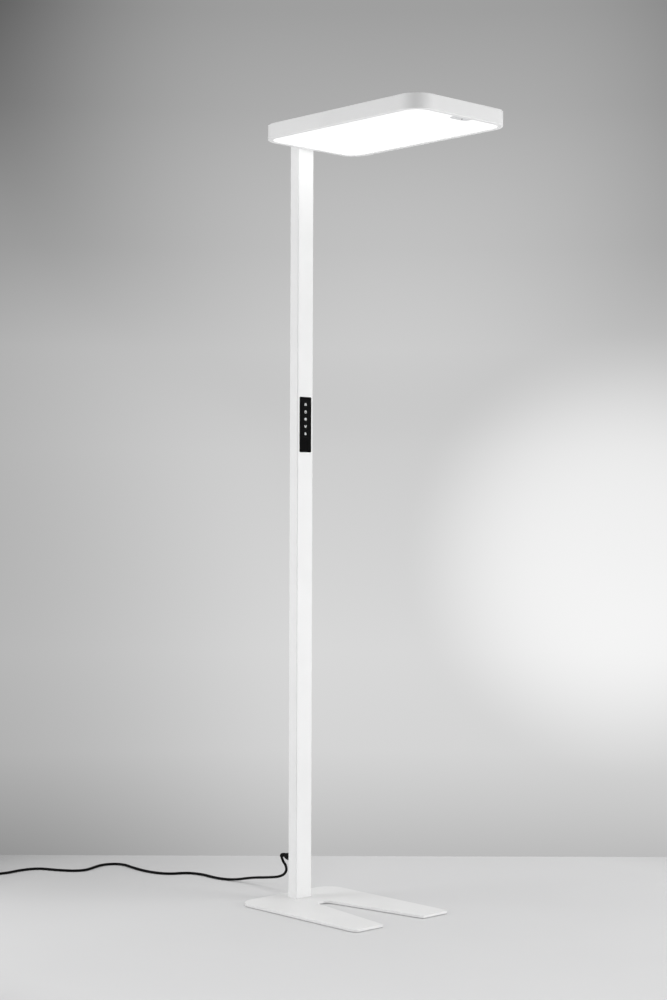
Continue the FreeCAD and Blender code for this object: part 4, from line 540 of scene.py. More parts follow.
WHITE_STEEL = PowderCoat("white_powder_on_steel", (0.81, 0.81, 0.806))
WHITE_ALUMINIUM = PowderCoat("white_powder_on_aluminium", (0.84, 0.842, 0.84), roughness=0.48)
DRIVER_CASE = PowderCoat("driver_case_paint", (0.74, 0.74, 0.73), specular=0.5)
WHITE_PLASTIC = Moulded("satin_white_plastic", (0.82, 0.82, 0.815), roughness=0.42, shades=(1.0, 0.985))
SENSOR_GREY = Moulded("pale_grey_plastic", (0.72, 0.725, 0.73), roughness=0.45, shades=(1.0, 0.98))
SWITCH_PLASTIC = Moulded("dull_switch_plastic", (0.02, 0.02, 0.022), roughness=0.45)
BLACK_PLASTIC = Moulded("grained_black_plastic", (0.003, 0.003, 0.0032), specular=0.07, roughness=0.46,
                        shades=(1.0, 1.4))
BLACK_RUBBER = Moulded("soft_black_rubber", (0.003, 0.003, 0.0031), specular=0.07, roughness=0.6,
                       shades=(1.0, 1.5))
DARK_LENS = SatinPanel("dark_infrared_lens", (0.012, 0.012, 0.016), roughness=0.12)
GREY_WINDOW = SatinPanel("grey_sensor_pane", (0.42, 0.425, 0.43), roughness=0.2, shades=(1.0, 1.05))
BLACK_PANEL = SatinPanel("satin_black_panel", (0.0016, 0.0016, 0.0018), specular=0.008, roughness=0.24,
                         zone_shade=2.2)
BLACK_KEY = SatinPanel("satin_black_key", (0.0032, 0.0032, 0.0036), specular=0.01, roughness=0.3)
DIFFUSER = OpalSheet("glowing_opal_sheet", (0.97, 0.97, 0.965))
CLEAR_GUIDE = Acrylic("clear_acrylic", (0.95, 0.97, 0.97))
FROSTED_PANE = Acrylic("frosted_acrylic", (0.93, 0.945, 0.95), roughness=0.46,
                       more=(("Transmission Weight", 0.82), ("IOR", 1.49)), glow=0.15)
MILL_SHEET = Metal("mill_aluminium", (0.77, 0.77, 0.78), roughness=0.38, grain=Grain.ALONG_Y)
ZINC = Metal("zinc_plate", (0.68, 0.68, 0.67), roughness=0.4, lines=60.0)
NICKEL = Metal("nickel_plate", (0.70, 0.68, 0.63), roughness=0.2, lines=90.0)
GREEN_BOARD = Board("lacquered_green_board", (0.05, 0.2, 0.09))
LED_BOARD = Board("lit_led_board", (0.8, 0.81, 0.79))
CORD_SHEATH = Sheath("black_cord_sheath", (0.0022, 0.0022, 0.0024), specular=0.06, roughness=0.42,
                     shades=(1.0, 1.6))
WHITE_SHEATH = Sheath("white_cable_sheath", (0.66, 0.66, 0.64), roughness=0.4, shades=(1.0, 0.94))
WHITE_FOIL = Finish("white_reflector_foil", (0.9, 0.9, 0.89), roughness=0.45, smeared=(0.0, 0.15),
                    smear=Pattern(30.0, 3.0, MIDDLE), skin=Pattern(18.0, 3.0), skin_height=0.2 * MM)
ICON_INK = Finish("white_icon_ink", (0.66, 0.665, 0.67), specular=0.2, roughness=0.55,
                  stain=Pattern(1800.0, 2.0, MIDDLE), shades=(0.88, 1.0),
                  skin=Pattern(5000.0, 1.0), skin_height=0.01 * MM)
PAD_FELT = Finish("pressed_pad_felt", (0.5, 0.5, 0.505), roughness=0.95, more=(("Sheen Weight", 0.3),),
                  stain=Pattern(1400.0, 5.0), shades=(0.6, 1.7),
                  skin=Pattern(1400.0, 5.0), skin_height=0.4 * MM)


def dress(frame: dict, finish: Finish, *names: str) -> None:
    """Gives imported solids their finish.

    Args:
        frame: The loaded frame.
        finish: The finish.
        names: The nodes that get it.
    """
    for name in names:
        solid = frame["nodes"][name]
        solid.data.materials.clear()
        solid.data.materials.append(finish.material())
        log.info("%s: %s", name, finish.name)


def new_object(name: str, data: bpy.types.ID) -> Piece:
    """Puts a mesh, curve, lamp or camera into the scene.

    Args:
        name: The object's name.
        data: What it shows.

    Returns:
        The object.
    """
    thing = bpy.data.objects.new(name, data)
    bpy.context.scene.collection.objects.link(thing)
    return thing


def mesh_piece(name: str, form: Form, finish: Finish, body: str = BODY,
               smooth_angle: float = 35.0) -> Piece:
    """Turns a built form into a piece that rides on a body.

    Args:
        name: The piece's name.
        form: The form, which is used up.
        finish: Its finish.
        body: The body that it rides on.
        smooth_angle: Edges up to this many degrees are shaded smooth.

    Returns:
        The piece.
    """
    bmesh.ops.recalc_face_normals(form, faces=form.faces)
    mesh = bpy.data.meshes.new(name)
    form.to_mesh(mesh)
    form.free()
    mesh.shade_smooth()
    mesh.set_sharp_from_angle(angle=math.radians(smooth_angle))
    mesh.materials.append(finish.material())
    piece = new_object(name, mesh)
    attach(piece, body)
    log.info("%s: %d faces, %s", name, len(mesh.polygons), finish.name)
    return piece


def loft(rings: Sequence[Sequence[Vector]], form: Form) -> None:
    """Skins closed rings of equal count, one after another, and closes both ends.

    Args:
        rings: The rings in order.
        form: The form that is added to.
    """
    rows = [[form.verts.new(point) for point in ring] for ring in rings]
    for near, far in zip(rows, rows[1:]):
        for i in range(-1, len(near) - 1):
            form.faces.new((near[i], near[i + 1], far[i + 1], far[i]))
    form.faces.new(reversed(rows[0]))
    form.faces.new(rows[-1])


def ring_about(centre: Vector, heading: Vector, radius: float, count: int) -> list[Vector]:
    """A circle of points square to a heading.

    Args:
        centre: Its centre.
        heading: The direction that it faces.
        radius: Its radius.
        count: How many points it has.

    Returns:
        The points.
    """
    turn = UP.rotation_difference(heading.normalized())
    points = []
    for i in range(count):
        angle = 2.0 * math.pi * i / count
        points.append(centre + turn @ Vector((radius * math.cos(angle), radius * math.sin(angle), 0.0)))
    return points


def rounded_rectangle(width: float, height: float, corner: float, steps: int = 6) -> Loop:
    """The outline of a rectangle with round corners about its own middle.

    Args:
        width: Its width.
        height: Its height.
        corner: The radius of its corners.
        steps: How many points each corner has, less one.

    Returns:
        The outline's points.
    """
    points = []
    for i, (x, y) in enumerate(((1, 1), (-1, 1), (-1, -1), (1, -1))):
        for step in range(steps + 1):
            angle = (i + step / steps) * math.pi / 2.0
            points.append((x * (width / 2 - corner) + corner * math.cos(angle),
                           y * (height / 2 - corner) + corner * math.sin(angle)))
    return points


def eased(share: float) -> float:
    """A share from 0 to 1 that starts and stops gently."""
    return share * share * (3 - 2 * share)


def pole_axis_y() -> float:
    """The y of the pole's axis."""
    low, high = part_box("pole_profile")
    return (low.y + high.y) / 2


class SubAssembly:
    """A part of the lamp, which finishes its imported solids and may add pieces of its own."""

    finishes: dict[Finish, tuple[str, ...]] = {}

    def dress(self, frame: dict) -> None:
        """Finishes the solids and adds the part's own pieces.

        Args:
            frame: The loaded frame.
        """
        for finish, names in self.finishes.items():
            dress(frame, finish, *names)
        self.add_pieces(frame)

    def add_pieces(self, frame: dict) -> None:
        """Adds nothing, as most parts are whole without it."""


@dataclass
class SunkScrews:
    """Countersunk screws with a hexagon socket, which stand for plain packed ones."""

    node: str
    radius: float
    head: float
    length: float
    spots: list[tuple[float, float]]
    level: float
    downward: bool
    socket: float = 0.55
    socket_depth: float = 0.75
    rim: float = 0.15 * MM
    sides: int = 24

    def build(self) -> Piece:
        """Builds the screws as one piece.

        Returns:
            The piece.
        """
        form = bmesh.new()
        for x, y in self.spots:
            loft(self.screw(Vector((x, y, self.level)), DOWN if self.downward else UP), form)
        piece = mesh_piece(f"{self.node}_detailed", form, ZINC, smooth_angle=30.0)
        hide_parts(self.node)
        return piece

    def screw(self, face: Vector, way: Vector) -> list[list[Vector]]:
        """The rings of one screw, from its socket's floor to its tip.

        Args:
            face: The middle of its flat head face.
            way: The direction from the head to the tip.

        Returns:
            The rings.
        """
        sink = self.head - self.radius
        turned = (
            (0.0, self.head - self.rim),
            (self.rim, self.head),
            (sink + self.rim, self.radius),
            (self.length, self.radius),
        )
        rings = [self.hexagon(face + way * depth, way) for depth in (self.socket_depth * sink, 0.0)]
        return rings + [ring_about(face + way * down, way, radius, self.sides) for down, radius in turned]

    def hexagon(self, centre: Vector, way: Vector) -> list[Vector]:
        """The socket's outline, with as many points as the screw's circles.

        Args:
            centre: Its centre.
            way: The direction that it faces.

        Returns:
            The points.
        """
        twelfth = math.pi / 6
        points = []
        for i, point in enumerate(ring_about(centre, way, self.socket * self.head, self.sides)):
            off = (2.0 * math.pi * i / self.sides + twelfth) % (2 * twelfth) - twelfth
            flat = math.cos(twelfth) / math.cos(twelfth - abs(off))
            points.append(centre + (point - centre) * flat)
        return points


@dataclass
class Foot(SubAssembly):
    """Notched steel plate on felt pads, with the screws that hold the pole."""

    finishes = {WHITE_STEEL: ("base_plate",), PAD_FELT: ("glide_pads",)}
    screw_radius: float = 2.5 * MM
    screw_head: float = 4.8 * MM
    screw_length: float = 26.0 * MM
    screw_x: float = 20.7 * MM
    screw_y: float = 9.7 * MM

    def add_pieces(self, frame: dict) -> None:
        """Adds the screws from below.

        Args:
            frame: The loaded frame, which is not used.
        """
        middle_y = pole_axis_y()
        spots = [(x, middle_y + y) for x in (-self.screw_x, self.screw_x)
                 for y in (-self.screw_y, self.screw_y)]
        SunkScrews("base_screws", self.screw_radius, self.screw_head, self.screw_length, spots,
                   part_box("base_plate")[0].z, downward=False).build()


class Pole(SubAssembly):
    """Rectangular extrusion with its cap, insert and the neck towards the head."""

    finishes = {
        WHITE_ALUMINIUM: ("pole_profile", "neck_spacer"),
        WHITE_PLASTIC: ("pole_top_cap",),
        MILL_SHEET: ("pole_top_insert",),
        ZINC: ("head_bracket", "bracket_screws"),
        BLACK_RUBBER: ("cable_grommet",),
        WHITE_SHEATH: ("supply_cable", "control_cable", "sensor_cable"),
    }


@dataclass
class Head(SubAssembly):
    """Flat housing with the diffuser below, the up-light window above and the optics between."""

    finishes = {
        WHITE_ALUMINIUM: ("head_frame", "top_cover"),
        CLEAR_GUIDE: ("light_guide",),
        FROSTED_PANE: ("uplight_window",),
        WHITE_FOIL: ("reflector_sheet",),
        MILL_SHEET: ("chassis_plate", "uplight_tray"),
        DRIVER_CASE: ("led_driver",),
        ZINC: ("support_pillars", "chassis_screws", "driver_screws", "tray_screws"),
    }
    cover_screw_radius: float = 1.5 * MM
    cover_screw_head: float = 2.8 * MM
    cover_screw_length: float = 8.0 * MM
    pillar_side: float = 35.5 * MM
    pillar_end: float = 65.0 * MM
    led_height: float = 0.8 * MM
    strip_thickness: float = 1.0 * MM
    led_glow: float = 3.0

    def add_pieces(self, frame: dict) -> None:
        """Lights the diffuser and boards and adds the cover's screws.

        Args:
            frame: The loaded frame.
        """
        low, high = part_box("head_frame")
        middle = (low + high) / 2
        half = (high - low) / 2
        sheet_low, sheet_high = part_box("downlight_diffuser")
        sheet = replace(DIFFUSER, half_width=(sheet_high.x - sheet_low.x) / 2,
                        half_length=(sheet_high.y - sheet_low.y) / 2, middle_y=middle.y)
        dress(frame, sheet, "downlight_diffuser")
        board_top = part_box("uplight_led_boards")[1].z - self.led_height / 2
        dress(frame, replace(LED_BOARD, led_axis="Z", led_level=board_top, glow=self.led_glow),
              "uplight_led_boards")
        strip_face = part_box("edge_led_strips")[1].x - self.strip_thickness - self.led_height / 2
        dress(frame, replace(LED_BOARD, name="lit_edge_strip", led_axis="X", led_level=strip_face,
                             led_inward=True, glow=self.led_glow), "edge_led_strips")
        pillar_x = half.x - self.pillar_side
        pillar_y = half.y - self.pillar_end
        spots = [(side * pillar_x, middle.y + row * pillar_y) for side in (-1, 1) for row in (-1, 0, 1)]
        SunkScrews("cover_screws", self.cover_screw_radius, self.cover_screw_head,
                   self.cover_screw_length, spots, high.z, downward=True).build()


class SensorInsert(SubAssembly):
    """Grey half-round insert in the diffuser with its lens and window."""

    finishes = {
        SENSOR_GREY: ("sensor_housing",),
        DARK_LENS: ("sensor_lens",),
        GREY_WINDOW: ("daylight_window",),
        GREEN_BOARD: ("sensor_board",),
    }


class Icon(Enum):
    """The sign printed on each key, from the top key down."""

    SHADE = 1
    DROP = 2
    RING = 3
    CHEVRON = 4
    FIGURE = 5


def arc(x: float, y: float, radius: float, start: float, end: float, steps: int = 20) -> Loop:
    """Points of an arc in the icon's plane.

    Args:
        x: The centre's x.
        y: The centre's y.
        radius: Its radius.
        start: The angle where it begins, in degrees.
        end: The angle where it ends, in degrees.
        steps: How many pieces it is cut into.

    Returns:
        The points from start to end.
    """
    angles = [math.radians(start + (end - start) * i / steps) for i in range(steps + 1)]
    return [(x + radius * math.cos(a), y + radius * math.sin(a)) for a in angles]


def disc(x: float, y: float, radius: float) -> Loop:
    """A full circle of points."""
    return arc(x, y, radius, 0.0, 360.0, 28)[:-1]


@dataclass
class ControlStrip(SubAssembly):
    """Black strip in the pole's front with five keys, each with a printed white icon."""

    finishes = {
        BLACK_KEY: tuple(f"key_{icon.value}" for icon in Icon),
        SWITCH_PLASTIC: ("key_switches", "keypad_housing",
                         *(f"switch_plunger_{icon.value}" for icon in Icon)),
        GREEN_BOARD: ("keypad_board",),
    }
    icon_width: float = 8.5 * MM
    icon_height: float = 7.7 * MM
    icon_lift: float = 0.5 * MM
    ink_height: float = 0.04 * MM
    figure_width: float = 1.4
    zone_side: float = 14.0 * MM
    zone_top: float = 5.0 * MM
    zone_length: float = 104.0 * MM

    def outlines(self, icon: Icon) -> list[Loop]:
        """An icon's shape, drawn in a square from -0.5 to 0.5.

        Args:
            icon: Which icon.

        Returns:
            The outer outline, then the outline of its hole where it has one.
        """
        if icon is Icon.SHADE:
            wall = [(-0.5, -0.34), (-0.5, -0.2), (-0.42, -0.1)] + arc(0.0, 0.1, 0.41, 180, 0)
            return [wall + [(0.42, -0.1), (0.5, -0.2), (0.5, -0.34)], disc(0.0, 0.0, 0.14)]
        if icon is Icon.DROP:
            right = [(0.0, 0.6)] + arc(0.0, -0.02, 0.46, 34, -54)
            left = [(0.0, -0.56)] + arc(0.0, -0.02, 0.46, -126, -214)
            return [right + left, disc(0.0, -0.1, 0.23)]
        if icon is Icon.RING:
            crescent = arc(0.0, 0.0, 0.36, 190, 350) + arc(0.0, 0.04, 0.27, 345, 195)
            return [disc(0.0, 0.0, 0.48), crescent]
        if icon is Icon.CHEVRON:
            arm = [(0.22, 0.4), (0.34, 0.46), (0.46, 0.44), (0.5, 0.36), (0.48, 0.22), (0.13, -0.4)]
            mirrored = [(-x, y) for x, y in reversed(arm)]
            return [[(0.0, 0.0)] + arm + [(0.0, -0.46)] + mirrored]
        figure = arc(-0.03, 0.3, 0.2, -50, 230) + arc(0.0, -0.1, 0.32, 130, 410)
        return [[(self.figure_width * x, y) for x, y in figure]]

    def print_icon(self, icon: Icon) -> Piece:
        """Prints an icon on its key's face as a thin closed layer.

        Args:
            icon: Which icon.

        Returns:
            The piece, which rides on the key.
        """
        key = f"key_{icon.value}"
        low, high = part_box(key)
        middle = (low + high) / 2
        form = bmesh.new()
        edges = []
        for outline in self.outlines(icon):
            row = [form.verts.new((middle.x + x * self.icon_width, low.y - self.ink_height,
                                   middle.z + self.icon_lift + y * self.icon_height)) for x, y in outline]
            edges += [form.edges.new((a, b)) for a, b in zip(row, row[1:] + row[:1])]
        made = bmesh.ops.triangle_fill(form, use_beauty=True, edges=edges)
        faces = [item for item in made["geom"] if isinstance(item, bmesh.types.BMFace)]
        thick = bmesh.ops.extrude_face_region(form, geom=faces)
        moved = [item for item in thick["geom"] if isinstance(item, bmesh.types.BMVert)]
        bmesh.ops.translate(form, verts=moved, vec=(0.0, self.ink_height, 0.0))
        return mesh_piece(f"{key}_icon", form, ICON_INK, key, smooth_angle=20.0)

    def add_pieces(self, frame: dict) -> None:
        """Finishes the bezel with its paler zone and prints the icons.

        Args:
            frame: The loaded frame.
        """
        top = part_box("control_bezel")[1].z - self.zone_top
        panel = replace(BLACK_PANEL, zone=(self.zone_side, top - self.zone_length, top))
        dress(frame, panel, "control_bezel")
        for icon in Icon:
            self.print_icon(icon)


class MainsInlet(SubAssembly):
    """Flanged inlet low on the pole's rear with its pins and boot."""

    finishes = {
        BLACK_PLASTIC: ("inlet_socket",),
        NICKEL: ("inlet_pins",),
        BLACK_RUBBER: ("terminal_boot",),
    }


ROUTE = [
    (0.0045, 0.0750, 0.0990),
    (0.0105, 0.0788, 0.0877),
    (0.0244, 0.0796, 0.0721),
    (0.0355, 0.0898, 0.0533),
    (0.0376, 0.1137, 0.0366),
    (0.0381, 0.1678, 0.0264),
    (0.0445, 0.2386, 0.0153),
    (0.0270, 0.2910, 0.0035),
    (0.0080, 0.3390, 0.0035),
    (0.0150, 0.4090, 0.0035),
    (-0.0020, 0.4550, 0.0035),
    (-0.0540, 0.4750, 0.0035),
    (-0.0730, 0.5390, 0.0035),
    (-0.0680, 0.6100, 0.0035),
    (-0.0570, 0.6640, 0.0035),
    (-0.0730, 0.6950, 0.0035),
    (-0.1090, 0.7030, 0.0035),
    (-0.1490, 0.6860, 0.0035),
    (-0.1810, 0.6710, 0.0035),
    (-0.2150, 0.6810, 0.0035),
    (-0.2440, 0.7280, 0.0035),
    (-0.2650, 0.7800, 0.0035),
    (-0.3160, 0.7920, 0.0035),
    (-0.3740, 0.7800, 0.0035),
    (-0.4120, 0.8020, 0.0035),
    (-0.4440, 0.8280, 0.0035),
]


@dataclass
class CordSet(SubAssembly):
    """Connector, bent relief, cord with its put-away coil, and the mains plug.

    The route's points are in the pole's frame: x and y from the pole's axis, z from the floor.
    Each station of the connector is a distance from its face, a width and a height.
    """

    finishes = {BLACK_PLASTIC: ("mains_plug",), NICKEL: ("plug_pins",)}
    diameter: float = 6.8 * MM
    length: float = 2.384
    sheath_facets: int = 6
    coil_mean_diameter: float = 75.0 * MM
    coil_layer_turns: float = 2.25
    coil_rise_turns: float = 0.5
    coil_gap: float = 0.6 * MM
    coil_points_per_turn: int = 24
    plug_radius: float = 18.4 * MM
    plug_floor_gap: float = 0.1 * MM
    tail_run: float = 18.0 * MM
    tail_reach: float = 44.0 * MM
    relief_thick: float = 6.0 * MM
    relief_thin: float = 4.3 * MM
    relief_steps: int = 96
    relief_sides: int = 32
    relief_ribs: int = 6
    relief_plain: float = 0.12
    relief_groove: float = 0.75 * MM
    plug_relief_length: float = 26.0 * MM
    connector_stations: tuple[Size3, ...] = (
        (0.0, 27.0 * MM, 19.8 * MM),
        (5.8 * MM, 27.0 * MM, 19.8 * MM),
        (8.6 * MM, 23.4 * MM, 17.4 * MM),
        (12.6 * MM, 25.0 * MM, 18.6 * MM),
        (22.0 * MM, 22.0 * MM, 16.8 * MM),
        (32.4 * MM, 18.0 * MM, 14.0 * MM),
    )
    connector_steps: int = 108
    connector_corner: float = 3.5 * MM
    connector_soft: float = 1.2 * MM
    grip_start: float = 14.5 * MM
    grip_pitch: float = 3.0 * MM
    grip_grooves: int = 5
    grip_depth: float = 0.5 * MM
    flange: float = 2.0 * MM
    inlet_height: float = 105.0 * MM

    @property
    def connector_length(self) -> float:
        """How far the connector reaches from its face."""
        return self.connector_stations[-1][0]

    @property
    def connector_face(self) -> float:
        """The y where the connector meets the inlet's flange."""
        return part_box("pole_profile")[1].y + self.flange

    def coil_point(self, turn: float) -> Vector:
        """A point of the coil: in over one layer, up where it reverses, out over the next.

        Args:
            turn: How many turns have been laid.

        Returns:
            The point about the coil's own middle.
        """
        pitch = self.diameter + self.coil_gap
        layer = self.coil_layer_turns
        outer = self.coil_mean_diameter / 2 + pitch * layer / 2
        inner = outer - pitch * layer
        if turn <= layer:
            radius, height = outer - pitch * turn, 0.0
        elif turn <= layer + self.coil_rise_turns:
            share = (turn - layer) / self.coil_rise_turns
            radius = inner - pitch / (2 * math.pi) * math.sin(math.pi * share)
            height = pitch * eased(share)
        else:
            radius, height = inner + pitch * (turn - layer - self.coil_rise_turns), pitch
        angle = -2 * math.pi * turn
        return Vector((radius * math.cos(angle), radius * math.sin(angle), height))

    def flat_heading(self, turn: float, step: float = 1e-4) -> Vector:
        """The coil's level direction at a turn.

        Args:
            turn: How many turns have been laid.
            step: How far apart the two points are that give it, in turns.

        Returns:
            The direction at length one.
        """
        way = self.coil_point(turn + step) - self.coil_point(turn - step)
        way.z = 0.0
        return way.normalized()

    def coil(self, entry: Vector, heading: Vector) -> tuple[list[Vector], Vector, Vector]:
        """The coil's control points, laid so that it starts at entry along heading.

        Args:
            entry: Where the cord enters it.
            heading: The cord's direction there.

        Returns:
            The points, the coil's end and the direction there.
        """
        total = 2 * self.coil_layer_turns + self.coil_rise_turns
        count = round(total * self.coil_points_per_turn)
        first = self.flat_heading(0.0)
        turn = Matrix.Rotation(math.atan2(heading.y, heading.x) - math.atan2(first.y, first.x), 3, "Z")
        shift = entry - turn @ (self.coil_point(0.0) - first * self.diameter)
        swell = 1.0 / math.cos(math.pi / self.coil_points_per_turn)
        points = []
        for i in range(count + 1):
            spot = self.coil_point(total * i / count)
            points.append(shift + turn @ Vector((spot.x * swell, spot.y * swell, spot.z)))
        out = self.flat_heading(total)
        end = shift + turn @ (self.coil_point(total) + out * self.diameter)
        return points, end, turn @ out

    def tail(self, end: Vector, out: Vector) -> list[Vector]:
        """The tail's points, which rise to the plug's middle.

        Args:
            end: Where the coil ends.
            out: The direction there.

        Returns:
            The points from the coil's end to the plug's relief.
        """
        rise = Vector((0.0, 0.0, self.plug_radius + self.plug_floor_gap - end.z))
        return [end, end + out * self.tail_run, end + out * self.tail_reach + rise,
                end + out * (self.tail_reach + self.tail_run) + rise]

    def lay_cord(self, route: list[Vector]) -> tuple[Piece, Vector, Vector]:
        """Lays the cord as one smooth open spline.

        Args:
            route: Its points up to the coil.

        Returns:
            The cord, the point where its plug starts and the direction there.
        """
        coil, end, out = self.coil(route[-1], route[-1] - route[-2])
        tail = self.tail(end, out)
        points = route + coil + tail
        curve = bpy.data.curves.new("mains_cord_sheath", "CURVE")
        curve.dimensions = "3D"
        curve.bevel_depth = self.diameter / 2
        curve.bevel_resolution = self.sheath_facets
        curve.resolution_u = self.sheath_facets
        curve.use_fill_caps = True
        spline = curve.splines.new("NURBS")
        spline.points.add(len(points) - 1)
        for target, point in zip(spline.points, points):
            target.co = (*point, 1.0)
        spline.order_u = 3
        spline.use_endpoint_u = True
        curve.materials.append(CORD_SHEATH.material())
        cord = new_object("mains_cord_sheath", curve)
        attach(cord, BODY)
        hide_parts("mains_cord", "mains_cord_coil", "mains_cord_tail")
        log.info("mains_cord_sheath: %d control points", len(points))
        return cord, tail[-1], out

    def build_relief(self, node: str, start: Vector, leaving: Vector, end: Vector, arriving: Vector,
                     radii: Span) -> Piece:
        """Builds a tapered relief with rounded ribs along a smooth bend.

        Args:
            node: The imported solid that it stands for.
            start: Where it begins.
            leaving: The direction there.
            end: Where it ends.
            arriving: The direction there.
            radii: The radius at its start and at its end.

        Returns:
            The piece.
        """
        reach = (end - start).length
        pull_a = start + leaving.normalized() * reach / 3
        pull_b = end - arriving.normalized() * reach / 3
        rings = []
        for i in range(self.relief_steps + 1):
            t = i / self.relief_steps
            u = 1 - t
            centre = start * u ** 3 + pull_a * 3 * u * u * t + pull_b * 3 * u * t * t + end * t ** 3
            heading = (pull_a - start) * u * u + (pull_b - pull_a) * 2 * u * t + (end - pull_b) * t * t
            radius = radii[0] + (radii[1] - radii[0]) * t
            inner = (t - self.relief_plain) / (1 - 2 * self.relief_plain)
            if 0 < inner < 1:
                wave = 0.5 - 0.5 * math.cos(2 * math.pi * self.relief_ribs * inner)
                radius -= self.relief_groove * wave ** 1.5
            rings.append(ring_about(centre, heading, radius, self.relief_sides))
        form = bmesh.new()
        loft(rings, form)
        piece = mesh_piece(f"{node}_ribs", form, BLACK_RUBBER, smooth_angle=50.0)
        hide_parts(node)
        return piece

    def connector_size(self, along: float) -> tuple[float, float]:
        """The connector's width and height at a distance from its face.

        Args:
            along: The distance.

        Returns:
            The width and the height.
        """
        stations = zip(self.connector_stations, self.connector_stations[1:])
        near, far = next(pair for pair in stations if along <= pair[1][0])
        share = eased((along - near[0]) / (far[0] - near[0]))
        width, height = (near[i] + (far[i] - near[i]) * share for i in (1, 2))
        groove = (along - self.grip_start) / self.grip_pitch
        if 0.0 < groove < self.grip_grooves:
            width -= 2 * self.grip_depth * math.sin(math.pi * groove) ** 4
        edge = min(along, self.connector_length - along, self.connector_soft)
        drop = self.connector_soft - math.sqrt(self.connector_soft ** 2 - (self.connector_soft - edge) ** 2)
        return width - 2 * drop, height - 2 * drop

    def build_connector(self) -> Piece:
        """Builds the moulded connector: a collar, a neck, and a grooved grip that tapers to its rear.

        Returns:
            The piece.
        """
        face = self.connector_face
        rings = []
        for i in range(self.connector_steps + 1):
            along = self.connector_length * i / self.connector_steps
            outline = rounded_rectangle(*self.connector_size(along), self.connector_corner)
            rings.append([Vector((x, face + along, self.inlet_height + z)) for x, z in outline])
        form = bmesh.new()
        loft(rings, form)
        piece = mesh_piece("connector_grip", form, BLACK_PLASTIC, smooth_angle=40.0)
        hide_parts("cord_connector")
        return piece

    def add_pieces(self, frame: dict) -> None:
        """Lays the cord between its connector and its plug.

        Args:
            frame: The loaded frame, which is not used.
        """
        shift = Vector((0.0, pole_axis_y(), 0.0))
        route = [Vector(point) + shift for point in ROUTE]
        cord, plug_start, out = self.lay_cord(route)
        rear = Vector((0.0, self.connector_face + self.connector_length, self.inlet_height))
        relief = self.build_relief(
            "connector_relief", rear, Vector((0.0, 1.0, 0.0)), route[0], route[1] - route[0],
            (self.relief_thick, self.relief_thin))
        plug_relief = self.build_relief(
            "plug_relief", plug_start, out, plug_start + out * self.plug_relief_length, out,
            (self.relief_thin, self.relief_thick))
        connector = self.build_connector()


def add_lamp(name: str, kind: str, heading: Vector, **settings: object) -> bpy.types.Object:
    """Puts a lamp into the scene.

    Args:
        name: The lamp's name.
        kind: Blender's name of the lamp's type.
        heading: The direction that it shines in.
        settings: The lamp's own settings.

    Returns:
        The lamp.
    """
    data = bpy.data.lights.new(name, kind)
    for setting, value in settings.items():
        setattr(data, setting, value)
    lamp = new_object(name, data)
    lamp.rotation_euler = heading.to_track_quat("-Z", "Y").to_euler()
    return lamp


@dataclass(frozen=True)
class Softbox:
    """One large soft lamp that points at a spot of the lamp."""

    name: str
    place: Size3
    target: Size3
    width: float
    height: float
    power: float

    def build(self) -> None:
        """Makes the lamp, unseen by the camera."""
        lamp = add_lamp(self.name, "AREA", Vector(self.target) - Vector(self.place), shape="RECTANGLE",
                        size=self.width, size_y=self.height, energy=self.power)
        lamp.location = self.place
        lamp.visible_camera = False


@dataclass(frozen=True)
class PaintedPatch:
    """A round patch of painted light on the backdrop, or of painted shade where its strength is below zero.
    """

    heading: Size3
    reach: float
    strength: float

    def lay(self, graph: Graph) -> Socket:
        """What the patch adds to the level of the backdrop that a world's graph builds."""
        near = graph.measure("DOT_PRODUCT", graph.place, Vector(self.heading).normalized())
        return graph.ranged(near, (math.cos(self.reach), 1.0), (0.0, self.strength), smooth=True)


